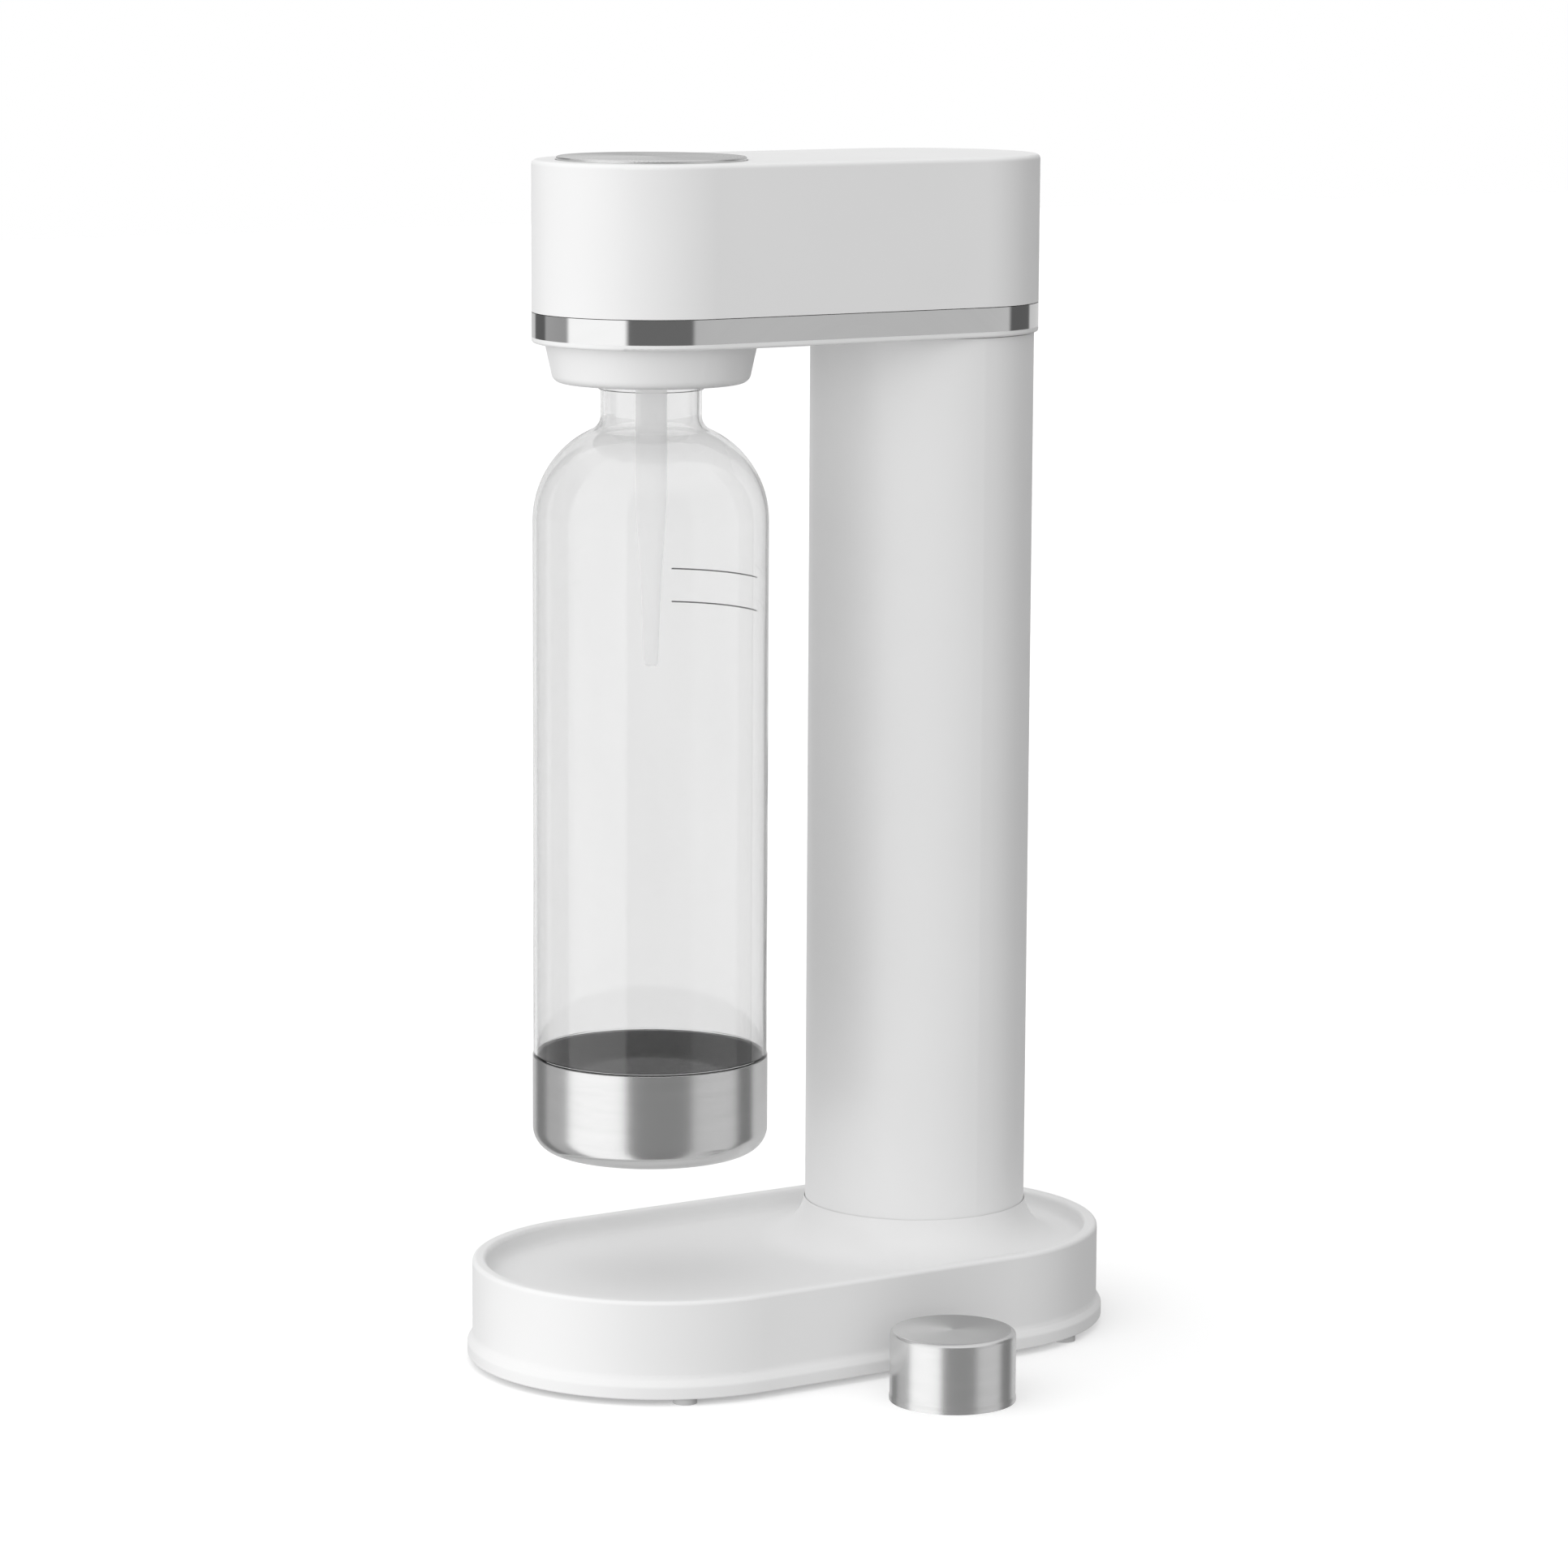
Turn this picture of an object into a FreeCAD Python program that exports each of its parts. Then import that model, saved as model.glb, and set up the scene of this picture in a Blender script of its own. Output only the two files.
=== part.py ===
import FreeCAD, Part
import math
import os

V = FreeCAD.Vector
Z = V(0, 0, 1)

# Soda carbonator. Millimetres. The origin is on the table at the centre of the base.
# +Z is up, -Y is the front, where the bottle hangs, and +Y is the back, where the gas column stands.

# ---- Overall sizes ----
HEAD_UNDERSIDE_Z = 362.0
HEAD_HEIGHT = 63.0
HEAD_RADIUS = 41.5
COLUMN_Y = 54.5
BOTTLE_LEAD = 4.5
BASE_HEIGHT = 36.6
BASE_MARGIN = 27.0
COLUMN_INSET = 1.5
BAY_HEIGHT = 39.7

# ---- Clearances ----
FACE_GAP = 0.3
SEAM_GAP = 0.25
RUNNING_CLEARANCE = 0.05
STEM_CLEARANCE = 0.08
BALL_CLEARANCE = 0.1
COLLAR_BORE_STEP = 0.1
PUSH_GAP = 0.1
THREAD_GAP = 0.3
POST_GAP = 0.6
SCREW_HOLE_CLEARANCE = 0.2
COUNTERBORE_CLEARANCE = 0.3
SPIGOT_CLEARANCE = 0.2
CYLINDER_CLEARANCE = 1.0
ROD_CLEARANCE = 0.5
CYLINDER_DOOR_CLEARANCE = 0.6
SCREW_PAD_GAP = 0.2

# ---- Screws ----
SCREW_SHANK_RADIUS = 1.5
SCREW_HEAD_RADIUS = 2.8
SCREW_HEAD_HEIGHT = 2.2
SCREW_HEAD_ROUNDING = 0.8
SCREW_DRIVE_RADIUS = 1.2
SCREW_DRIVE_DEPTH = 1.2
SCREW_BITE = 9.0

# ---- Head ----
SHELL_WALL = 2.4
SHELL_TOP_WALL = 2.8
SHELL_EDGE_ROUNDING = 1.6
LIP_HEIGHT = 2.0
LIP_ROUNDING = 1.0
BAND_HEIGHT = 8.5
BAND_THICKNESS = 1.4
HEAD_PLATE_THICKNESS = 3.0
HEAD_RIM_HEIGHT = 14.0
HEAD_RIM_WALL = 1.25
HEAD_BOSS_INSET = 7.6
HEAD_BOSS_SPACING = 24.0
HEAD_BOSS_RADIUS = 3.6
HEAD_BOSS_LENGTH = 24.0
WEB_THICKNESS = 2.4

# ---- Heights inside the head, as shares of the room that its plates and screw heads leave ----
BLOCK_NECK_SHARE = 0.18
SWING_SHARE = 0.0615
LEVER_SHARE = 0.176
GUIDE_BOSS_SHARE = 0.132
BOSS_ROOM_SHARE = 0.077
TRAVEL_SHARE = 0.132
STOP_SHARE = 0.055

# ---- Push button ----
BUTTON_INSET = 8.5
BUTTON_PROUD = 1.2
BUTTON_SHEET = 0.8
BUTTON_SKIRT = 9.5
BUTTON_EDGE_ROUNDING = 0.7
BUTTON_HOLE_CLEARANCE = 0.4
CARRIER_WALL = 2.0
CARRIER_TOP = 2.5
CARRIER_FLANGE_HEIGHT = 3.0
SLEEVE_WALL = 2.2
STEM_RADIUS = 5.0
STEM_ROUNDING = 4.0
GUIDE_THICKNESS = 2.5
GUIDE_BOSS_WALL = 2.42
POST_ANGLES = (0.0, 180.0, 270.0)
SPRING_GAP = 4.0
SPRING_WIRE_RADIUS = 0.65
SPRING_TURNS = 5

# ---- Lever ----
LEVER_SHEET = 2.0
LEVER_WIDTH = 16.0
LEVER_FRONT_OVERHANG = 7.0
LEVER_FRONT_ROUNDING = 5.6
LEVER_BACK_OVERHANG = 4.5
LEVER_CHEEK_SETBACK = 23.0
PIVOT_DROP_SHARE = 0.575
PIN_RADIUS = 2.5
EAR_THICKNESS = 3.0
EAR_WALL = 2.5
EAR_SIDE_GAP = 0.3
EAR_INSET = 0.05

# ---- Gas valve block ----
BLOCK_FLANGE_HEIGHT = 4.0
BLOCK_WALL = 9.2
BLOCK_SPIGOT_WALL = 6.2
BLOCK_SPIGOT_DEPTH = 11.0
PLUNGER_BOSS_WALL = 2.65
PLUNGER_RADIUS = 2.5
PLUNGER_HEAD_RADIUS = 4.0
PLUNGER_HEAD_HEIGHT = 3.5
PLUNGER_HEAD_ROUNDING = 3.2
PLUNGER_ROOM = 1.45
ORING_CORD_RADIUS = 0.85
ORING_COVER = 0.35
GASKET_THICKNESS = 1.5
GASKET_BORE_RADIUS = 4.0
PORT_WEB = 0.6
BLOCK_PORT_MARGIN = 1.5

# ---- Relief valve ----
RELIEF_HEX_LENGTH = 5.0
RELIEF_SHANK_LENGTH = 7.0
RELIEF_END_ROOM = 4.3
RELIEF_SHANK_SHARE = 0.79
RELIEF_BARREL_SHARE = 0.82

# ---- Gas line ----
FITTING_MARGIN = 0.3
FITTING_LENGTH = 9.0
FITTING_WALL = 0.8
FITTING_SPIGOT_LENGTH = 3.0
FITTING_SPIGOT_SHARE = 0.66
FITTING_ROUNDING = 0.5
HOSE_INSERTION = 5.0
HOSE_BORE_SHARE = 0.5
GAS_PORT_SHARE = 0.333
INLET_HALF_WIDTH = 5.2
INLET_COVER = 1.1

# ---- Gas cylinder ----
CYLINDER_FOOT_HEIGHT = 10.0
CYLINDER_WALL = 3.2
CYLINDER_SHOULDER_ROUNDING = 22.0
CYLINDER_FOOT_ROUNDING = 6.0
CYLINDER_NECK_RADIUS = 13.0
CYLINDER_NECK_HEIGHT = 5.0
CYLINDER_NECK_ROUNDING = 2.5
VALVE_HEIGHT = 24.0
VALVE_PLUG_RADIUS = 8.0
VALVE_PLUG_LENGTH = 10.0
VALVE_SEAT_RADIUS = 13.5
VALVE_SEAT_HEIGHT = 5.0
VALVE_THREAD_RADIUS = 10.5
VALVE_GROOVE_WIDTH = 1.2
VALVE_GROOVE_DEPTH = 0.6
VALVE_GROOVE_COUNT = 4
VALVE_THREAD_PITCH = 4.0
VALVE_CHAMBER_WALL = 7.3
VALVE_CHAMBER_DEPTH = 18.0
VALVE_ORIFICE_RADIUS = 0.8
VALVE_PIN_RADIUS = 1.6
VALVE_PIN_FOOT_RADIUS = 2.8
VALVE_PIN_FOOT_HEIGHT = 2.8
VALVE_PIN_RECESS = 1.0
VALVE_PIN_LIFT = 1.6

# ---- Column ----
COLUMN_WALL = 1.6
COLUMN_FOOT_Z = 16.0
LEDGE_THICKNESS = 3.0
SLEEVE_TUBE_WALL = 1.2
SLEEVE_TUBE_DROP = 17.0
TIE_ROD_RADIUS = 1.5
TIE_ROD_ANGLES = (35.0, 145.0, 215.0, 325.0)
TIE_ROD_END = 1.0
TIE_ROD_ROOM = 0.7
NUT_WIDTH_OVER_ROD = 2.5
NUT_HEIGHT = 3.0
SPIGOT_DEPTH = 5.0
SPIGOT_WALL = 1.8

# ---- Bottle ----
BOTTLE_INSET = 0.3
BOTTLE_WALL = 1.1
BOTTLE_NECK_SHARE = 0.4272
BOTTLE_NECK_WALL = 1.6
SHOULDER_HEIGHT = 63.0
SHOULDER_SLOPE = 24.8
SHOULDER_BEND_SHARE = 1.4746
NECK_FILLET_SHARE = 0.229
NECK_FOOT_MARGIN = 0.5
NECK_BEAD_DEPTH = 0.8
NECK_BEAD_HEIGHT = 1.4
NECK_BEAD_DROP = 2.4
THREAD_DEPTH = 1.0
THREAD_HEIGHT = 1.8
THREAD_PITCH = 4.2
THREAD_CHAMFER = 0.4
THREAD_START = 1.6
THREAD_ROWS = 3
THREAD_SECTORS = 3
THREAD_SECTOR_ANGLE = 52.0
BOTTLE_FLOOR_LIFT = 2.7
BOTTLE_STANDING_RING = 2.6
PUNT_RADIUS = 12.0
PUNT_TOP_RADIUS = 5.4
PUNT_HEIGHT = 5.0
PUNT_ROUNDING = 5.0
CUP_HEIGHT = 34.3
CUP_WALL = 0.8
CUP_ROUNDING = 8.5
CUP_PROUD = 0.3
CUP_GLUE_GAP = 0.1

# ---- Nozzle and bottle fitting ----
COLLAR_HEIGHT = 13.8
COLLAR_FLARE = 3.0
COLLAR_MARGIN = 3.7
COLLAR_EDGE_ROUNDING = 3.4
COLLAR_WALL = 2.2
COLLAR_FLOOR = 2.6
COLLAR_BOSS_RADIUS = 3.0
COLLAR_SCREW_ANGLES = (30.0, 150.0, 270.0)
COLLAR_SCREW_GAP = 3.4
RING_GAP = 0.6
RING_WALL = 2.6
RING_FLANGE_MARGIN = 5.1
RING_FLANGE_HEIGHT = 3.0
RING_LUG_DEPTH = 1.2
RING_LUG_ANGLE = 50.0
NOZZLE_DISC_MARGIN = 3.0
NOZZLE_DISC_HEIGHT = 3.0
NOZZLE_PIVOT_DROP = 7.0
BALL_RADIUS = 6.5
BALL_SOCKET_WALL = 3.0
RETAINER_HEIGHT = 4.2
RETAINER_LAP = 0.8
TUBE_NECK_RADIUS = 3.6
TUBE_RADIUS = 5.5
TUBE_MID_RADIUS = 3.8
TUBE_TIP_RADIUS = 2.5
TUBE_SHOULDER_DROP = 7.6
TUBE_TAPER_DROP = 53.0
TUBE_MID_DROP = 75.0
TUBE_LENGTH = 109.0
TUBE_TIP_ROUNDING = 1.1
TUBE_TAPER_BLEND = 200.0
TUBE_MID_BLEND = 300.0
TUBE_BORE_RADIUS = 1.2
SEAL_THICKNESS = 2.0
SEAL_BORE_MARGIN = 2.0
SEAL_EDGE_GAP = 0.8

# ---- Base ----
BASE_WALL = 3.0
RIM_WIDTH = 5.0
RIM_ROUNDING = 1.5
TRAY_DEPTH = 6.4
TRAY_ROUNDING = 4.0
TRAY_THICKNESS = 3.0
SKIRT_PROUD = 1.9
SKIRT_BOTTOM_Z = 2.2
SKIRT_HEIGHT = 4.4
SKIRT_BLEND = 3.4
SKIRT_SHOULDER_BLEND = 1.7
SKIRT_RISE = 3.0
SKIRT_EDGE_ROUNDING = 0.6
FLARE_HEIGHT = 8.7
SOCKET_WALL = 2.7
PLATE_THICKNESS = 2.5
PLATE_PAD_HEIGHT = 2.1
PLATE_PAD_RADIUS = 4.6
RING_PAD_INSET = 7.5
RING_PAD_WIDTH = 5.0
FOOT_RADIUS = 4.2
FOOT_MARGIN = 3.0
FOOT_ANGLE = 24.0
BASE_BOSS_RADIUS = 3.5
BASE_SCREW_ANGLE = 33.0

# ---- Loose bottle cap ----
CAP_GAP = 11.9
CAP_Y = 1.3
CAP_HEIGHT = 24.6
CAP_SHEET = 0.6
CAP_ROUNDING = 1.8
CAP_ROLL = 0.2
CAP_ROLL_HEIGHT = 2.4
LINER_WALL = 2.4
LINER_TOP = 2.5
LINER_INSET = 0.3
CAP_SEAL_THICKNESS = 1.5

# ---- Plan: places and radii that follow ----
BOTTLE_Y = -COLUMN_Y - BOTTLE_LEAD
HEAD_MIDDLE_Y = (BOTTLE_Y + COLUMN_Y) / 2
COLUMN_RADIUS = HEAD_RADIUS - COLUMN_INSET
BASE_RADIUS = COLUMN_RADIUS + BASE_MARGIN
SHELL_INNER = HEAD_RADIUS - SHELL_WALL
BAND_INNER = HEAD_RADIUS - BAND_THICKNESS
RIM_OUTER = SHELL_INNER - SEAM_GAP
RIM_INNER = RIM_OUTER - HEAD_RIM_WALL
HEAD_BOSS_X = HEAD_RADIUS - HEAD_BOSS_INSET
SCREW_HOLE_RADIUS = SCREW_SHANK_RADIUS + SCREW_HOLE_CLEARANCE
COUNTERBORE_RADIUS = SCREW_HEAD_RADIUS + COUNTERBORE_CLEARANCE

BUTTON_RADIUS = HEAD_RADIUS - BUTTON_INSET
BUTTON_HOLE_RADIUS = BUTTON_RADIUS + BUTTON_HOLE_CLEARANCE
CARRIER_RADIUS = BUTTON_RADIUS - BUTTON_SHEET
CARRIER_FLANGE_RADIUS = BUTTON_HOLE_RADIUS + SLEEVE_WALL - FACE_GAP
GUIDE_RADIUS = RIM_INNER - POST_GAP
SPRING_RADIUS = STEM_RADIUS + SPRING_GAP + SPRING_WIRE_RADIUS

BOTTLE_RADIUS = HEAD_RADIUS - BOTTLE_INSET
BOTTLE_NECK_RADIUS = BOTTLE_RADIUS * BOTTLE_NECK_SHARE
BOTTLE_NECK_BORE = BOTTLE_NECK_RADIUS - BOTTLE_NECK_WALL
THREAD_RADIUS = BOTTLE_NECK_RADIUS + THREAD_DEPTH
SHOULDER_RADIUS = (BOTTLE_RADIUS - BOTTLE_NECK_RADIUS) * SHOULDER_BEND_SHARE
NECK_FILLET = (BOTTLE_RADIUS - BOTTLE_NECK_RADIUS) * NECK_FILLET_SHARE
CUP_RADIUS = BOTTLE_RADIUS + CUP_PROUD
BOTTLE_FOOT_RADIUS = CUP_RADIUS - CUP_WALL - CUP_GLUE_GAP
BOTTLE_FLOOR_ROUNDING = BOTTLE_FOOT_RADIUS - PUNT_RADIUS - BOTTLE_STANDING_RING

RING_BORE_RADIUS = THREAD_RADIUS + RING_GAP
RING_RADIUS = RING_BORE_RADIUS + RING_WALL
COLLAR_BORE_RADIUS = RING_BORE_RADIUS + COLLAR_BORE_STEP
COLLAR_SCREW_CIRCLE = RING_RADIUS + COLLAR_SCREW_GAP
RING_FLANGE_RADIUS = COLLAR_SCREW_CIRCLE + RING_FLANGE_MARGIN
COLLAR_BOTTOM_RADIUS = RING_FLANGE_RADIUS + COLLAR_MARGIN
COLLAR_TOP_RADIUS = COLLAR_BOTTOM_RADIUS + COLLAR_FLARE
NECK_HOLE_RADIUS = RING_RADIUS + FACE_GAP
NOZZLE_DISC_RADIUS = COLLAR_SCREW_CIRCLE + NOZZLE_DISC_MARGIN
POST_CIRCLE = (RIM_INNER + NOZZLE_DISC_RADIUS) / 2
POST_RADIUS = (RIM_INNER - NOZZLE_DISC_RADIUS) / 2 - POST_GAP
SOCKET_BALL_RADIUS = BALL_RADIUS + BALL_CLEARANCE
NOZZLE_SPIGOT_RADIUS = BALL_RADIUS + BALL_SOCKET_WALL
RETAINER_OPENING_RADIUS = BALL_RADIUS - RETAINER_LAP
SEAL_BORE_RADIUS = NOZZLE_SPIGOT_RADIUS + SEAL_BORE_MARGIN
SEAL_RADIUS = RING_BORE_RADIUS - SEAL_EDGE_GAP
NOZZLE_PORT_Y = BOTTLE_Y + INLET_HALF_WIDTH

COLUMN_INNER = COLUMN_RADIUS - COLUMN_WALL
SPIGOT_RADIUS = COLUMN_INNER - SPIGOT_CLEARANCE
TIE_ROD_CIRCLE = SPIGOT_RADIUS - SPIGOT_WALL - TIE_ROD_ROOM - TIE_ROD_RADIUS
NUT_CORNER_RADIUS = (TIE_ROD_RADIUS + NUT_WIDTH_OVER_ROD / 2) / math.cos(math.pi / 6)
SLEEVE_OUTER_RADIUS = TIE_ROD_CIRCLE - TIE_ROD_RADIUS - ROD_CLEARANCE
SLEEVE_BORE_RADIUS = SLEEVE_OUTER_RADIUS - SLEEVE_TUBE_WALL
LEDGE_BORE_RADIUS = SLEEVE_BORE_RADIUS + FACE_GAP
CYLINDER_RADIUS = SLEEVE_BORE_RADIUS - CYLINDER_CLEARANCE
CYLINDER_HOLE_RADIUS = SLEEVE_BORE_RADIUS + CYLINDER_DOOR_CLEARANCE
VALVE_SOCKET_RADIUS = VALVE_THREAD_RADIUS + THREAD_GAP
BLOCK_FLANGE_RADIUS = RIM_INNER - FACE_GAP
BLOCK_RADIUS = VALVE_SOCKET_RADIUS + BLOCK_WALL
BLOCK_SPIGOT_RADIUS = VALVE_SOCKET_RADIUS + BLOCK_SPIGOT_WALL
PLUNGER_HOLE_RADIUS = PLUNGER_RADIUS + RUNNING_CLEARANCE
PLUNGER_BOSS_RADIUS = PLUNGER_HOLE_RADIUS + PLUNGER_BOSS_WALL
GASKET_RADIUS = VALVE_SOCKET_RADIUS - SEAL_EDGE_GAP
VALVE_CHAMBER_RADIUS = VALVE_THREAD_RADIUS - VALVE_CHAMBER_WALL
RELIEF_LENGTH = BLOCK_FLANGE_RADIUS - BLOCK_RADIUS - RELIEF_END_ROOM
EAR_X = LEVER_WIDTH / 2 + EAR_SIDE_GAP
EAR_RADIUS = PIN_RADIUS + EAR_WALL
EAR_REACH = math.sqrt(BLOCK_FLANGE_RADIUS ** 2 - (EAR_X + EAR_THICKNESS) ** 2)
PIVOT_Y = COLUMN_Y + EAR_REACH - EAR_RADIUS - EAR_INSET
LEVER_CHEEK_FRONT_Y = BOTTLE_Y + LEVER_CHEEK_SETBACK
BLOCK_PORT_Y = COLUMN_Y - BLOCK_RADIUS - BLOCK_PORT_MARGIN

SKIRT_RADIUS = BASE_RADIUS + SKIRT_PROUD
BASE_INNER = BASE_RADIUS - BASE_WALL
TRAY_RADIUS = BASE_RADIUS - RIM_WIDTH
SOCKET_RADIUS = COLUMN_RADIUS + SEAM_GAP
FLARE_FOOT_RADIUS = TRAY_RADIUS - TRAY_ROUNDING
RING_PAD_OUTER = BASE_RADIUS - RING_PAD_INSET
RING_PAD_INNER = RING_PAD_OUTER - RING_PAD_WIDTH
FOOT_CIRCLE = BASE_RADIUS - FOOT_MARGIN
BASE_SCREW_CIRCLE = RING_PAD_INNER - COUNTERBORE_RADIUS - SCREW_PAD_GAP
LINER_BORE_RADIUS = THREAD_RADIUS + FACE_GAP
CAP_RADIUS = LINER_BORE_RADIUS + LINER_WALL + CAP_SHEET
CAP_X = SKIRT_RADIUS + CAP_GAP + CAP_RADIUS

# ---- Levels that follow ----
HEAD_TOP_Z = HEAD_UNDERSIDE_Z + HEAD_HEIGHT
BAND_Z = HEAD_UNDERSIDE_Z + LIP_HEIGHT
BAND_TOP_Z = BAND_Z + BAND_HEIGHT
SHELL_Z = BAND_TOP_Z + SEAM_GAP
SHELL_CEILING_Z = HEAD_TOP_Z - SHELL_TOP_WALL
PLATE_TOP_Z = HEAD_UNDERSIDE_Z + HEAD_PLATE_THICKNESS
HEAD_RIM_TOP_Z = HEAD_UNDERSIDE_Z + HEAD_RIM_HEIGHT
HEAD_SEAT_Z = HEAD_UNDERSIDE_Z + SCREW_HEAD_HEIGHT + COUNTERBORE_CLEARANCE
BLOCK_FLANGE_TOP_Z = PLATE_TOP_Z + BLOCK_FLANGE_HEIGHT
PLATES_IN_HEAD = BLOCK_FLANGE_HEIGHT + GUIDE_THICKNESS + SCREW_HEAD_HEIGHT + CARRIER_FLANGE_HEIGHT
HEAD_ROOM = SHELL_CEILING_Z - PLATE_TOP_Z - PLATES_IN_HEAD
LEVER_DEPTH = HEAD_ROOM * LEVER_SHARE
GUIDE_BOSS_DEPTH = HEAD_ROOM * GUIDE_BOSS_SHARE
BUTTON_TRAVEL = HEAD_ROOM * TRAVEL_SHARE
BLOCK_TOP_Z = BLOCK_FLANGE_TOP_Z + HEAD_ROOM * BLOCK_NECK_SHARE
LEVER_TOP_Z = BLOCK_TOP_Z + HEAD_ROOM * SWING_SHARE + LEVER_DEPTH
GUIDE_Z = LEVER_TOP_Z + HEAD_ROOM * BOSS_ROOM_SHARE + GUIDE_BOSS_DEPTH
GUIDE_TOP_Z = GUIDE_Z + GUIDE_THICKNESS
CARRIER_FLANGE_Z = GUIDE_TOP_Z + SCREW_HEAD_HEIGHT + HEAD_ROOM * STOP_SHARE + BUTTON_TRAVEL
SLEEVE_BOTTOM_Z = CARRIER_FLANGE_Z + CARRIER_FLANGE_HEIGHT
BUTTON_TOP_Z = HEAD_TOP_Z + BUTTON_PROUD
CARRIER_TOP_Z = BUTTON_TOP_Z - BUTTON_SHEET
STEM_BOTTOM_Z = LEVER_TOP_Z + PUSH_GAP
LEVER_WEB_Z = LEVER_TOP_Z - LEVER_SHEET
PIVOT_Z = LEVER_TOP_Z - LEVER_DEPTH * PIVOT_DROP_SHARE

HOSE_Z = (BLOCK_FLANGE_TOP_Z + BLOCK_TOP_Z) / 2
FITTING_RADIUS = (BLOCK_TOP_Z - BLOCK_FLANGE_TOP_Z) / 2 - FITTING_MARGIN
FITTING_SPIGOT_RADIUS = FITTING_RADIUS * FITTING_SPIGOT_SHARE
HOSE_RADIUS = FITTING_RADIUS - FITTING_WALL
HOSE_BORE_RADIUS = HOSE_RADIUS * HOSE_BORE_SHARE
GAS_PORT_RADIUS = HOSE_RADIUS * GAS_PORT_SHARE
RELIEF_SHANK_RADIUS = FITTING_RADIUS * RELIEF_SHANK_SHARE
RELIEF_BARREL_RADIUS = FITTING_RADIUS * RELIEF_BARREL_SHARE
INLET_TOP_Z = HOSE_Z + FITTING_RADIUS + INLET_COVER
SOCKET_CEILING_Z = HOSE_Z - GAS_PORT_RADIUS - PORT_WEB
CYLINDER_TOP_Z = SOCKET_CEILING_Z - GASKET_THICKNESS
ORING_Z = BLOCK_TOP_Z - ORING_CORD_RADIUS - ORING_COVER
PLUNGER_TOP_Z = LEVER_WEB_Z - RUNNING_CLEARANCE
PLUNGER_HEAD_Z = PLUNGER_TOP_Z - PLUNGER_HEAD_HEIGHT
PLUNGER_BOSS_TOP_Z = PLUNGER_HEAD_Z - PLUNGER_ROOM
VALVE_PIN_TOP_Z = CYLINDER_TOP_Z - VALVE_PIN_RECESS
PLUNGER_BOTTOM_Z = VALVE_PIN_TOP_Z + PUSH_GAP
CYLINDER_BOTTOM_Z = CYLINDER_FOOT_HEIGHT
CYLINDER_NECK_TOP_Z = CYLINDER_TOP_Z - VALVE_HEIGHT
CYLINDER_NECK_Z = CYLINDER_NECK_TOP_Z - CYLINDER_NECK_HEIGHT
SLEEVE_TUBE_TOP_Z = HEAD_UNDERSIDE_Z - SLEEVE_TUBE_DROP

COLLAR_BOTTOM_Z = HEAD_UNDERSIDE_Z - COLLAR_HEIGHT
COLLAR_FLOOR_Z = COLLAR_BOTTOM_Z + COLLAR_FLOOR
RING_FLANGE_TOP_Z = COLLAR_FLOOR_Z + RING_FLANGE_HEIGHT
THREAD_Z = COLLAR_BOTTOM_Z + THREAD_START
NECK_BEAD_Z = COLLAR_BOTTOM_Z - NECK_BEAD_DROP
NOZZLE_DISC_TOP_Z = PLATE_TOP_Z + NOZZLE_DISC_HEIGHT
NOZZLE_PIVOT_Z = PLATE_TOP_Z - NOZZLE_PIVOT_DROP
BOTTLE_MOUTH_Z = PLATE_TOP_Z - SEAL_THICKNESS
SHOULDER_START_Z = BOTTLE_MOUTH_Z - SHOULDER_HEIGHT
CUP_BOTTOM_Z = BASE_HEIGHT + BAY_HEIGHT
CUP_TOP_Z = CUP_BOTTOM_Z + CUP_HEIGHT
BOTTLE_FLOOR_Z = CUP_BOTTOM_Z + BOTTLE_FLOOR_LIFT

TRAY_Z = BASE_HEIGHT - TRAY_DEPTH
TRAY_UNDERSIDE_Z = TRAY_Z - TRAY_THICKNESS
FLARE_TOP_Z = BASE_HEIGHT + FLARE_HEIGHT
SKIRT_TOP_Z = SKIRT_BOTTOM_Z + SKIRT_HEIGHT
LEDGE_Z = COLUMN_FOOT_Z - LEDGE_THICKNESS
BASE_PLATE_TOP_Z = SKIRT_BOTTOM_Z + PLATE_THICKNESS
PLATE_PAD_TOP_Z = BASE_PLATE_TOP_Z + PLATE_PAD_HEIGHT
BASE_SEAT_Z = SKIRT_BOTTOM_Z + SCREW_HEAD_HEIGHT + COUNTERBORE_CLEARANCE


# ---- Drawing helpers ----
def outline(corners):
    """A closed wire in the XZ plane through corners (x, z) or (x, z, rounding radius)."""
    count = len(corners)
    points = [V(c[0], 0, c[1]) for c in corners]
    starts, ends, arcs = [], [], []
    for i, corner in enumerate(corners):
        radius = corner[2] if len(corner) > 2 else 0
        here = points[i]
        if not radius:
            starts.append(here)
            ends.append(here)
            arcs.append(None)
            continue
        back = (points[i - 1] - here).normalize()
        ahead = (points[(i + 1) % count] - here).normalize()
        half = back.getAngle(ahead) / 2
        bisector = (back + ahead).normalize()
        centre = here + bisector * (radius / math.sin(half))
        starts.append(here + back * (radius / math.tan(half)))
        ends.append(here + ahead * (radius / math.tan(half)))
        arcs.append(Part.Arc(starts[-1], centre - bisector * radius, ends[-1]))
    edges = []
    for i in range(count):
        if arcs[i]:
            edges.append(arcs[i].toShape())
        following = starts[(i + 1) % count]
        if ends[i].distanceToPoint(following) > 1e-6:
            edges.append(Part.LineSegment(ends[i], following).toShape())
    return Part.Wire(edges)


def section(corners):
    """The flat face inside an outline."""
    return Part.Face(outline(corners))


def turned(corners, y=0.0, x=0.0):
    """The section turned round the upright axis at (x, y)."""
    solid = section(corners).revolve(V(0, 0, 0), Z, 360)
    solid.translate(V(x, y, 0))
    return solid


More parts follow.
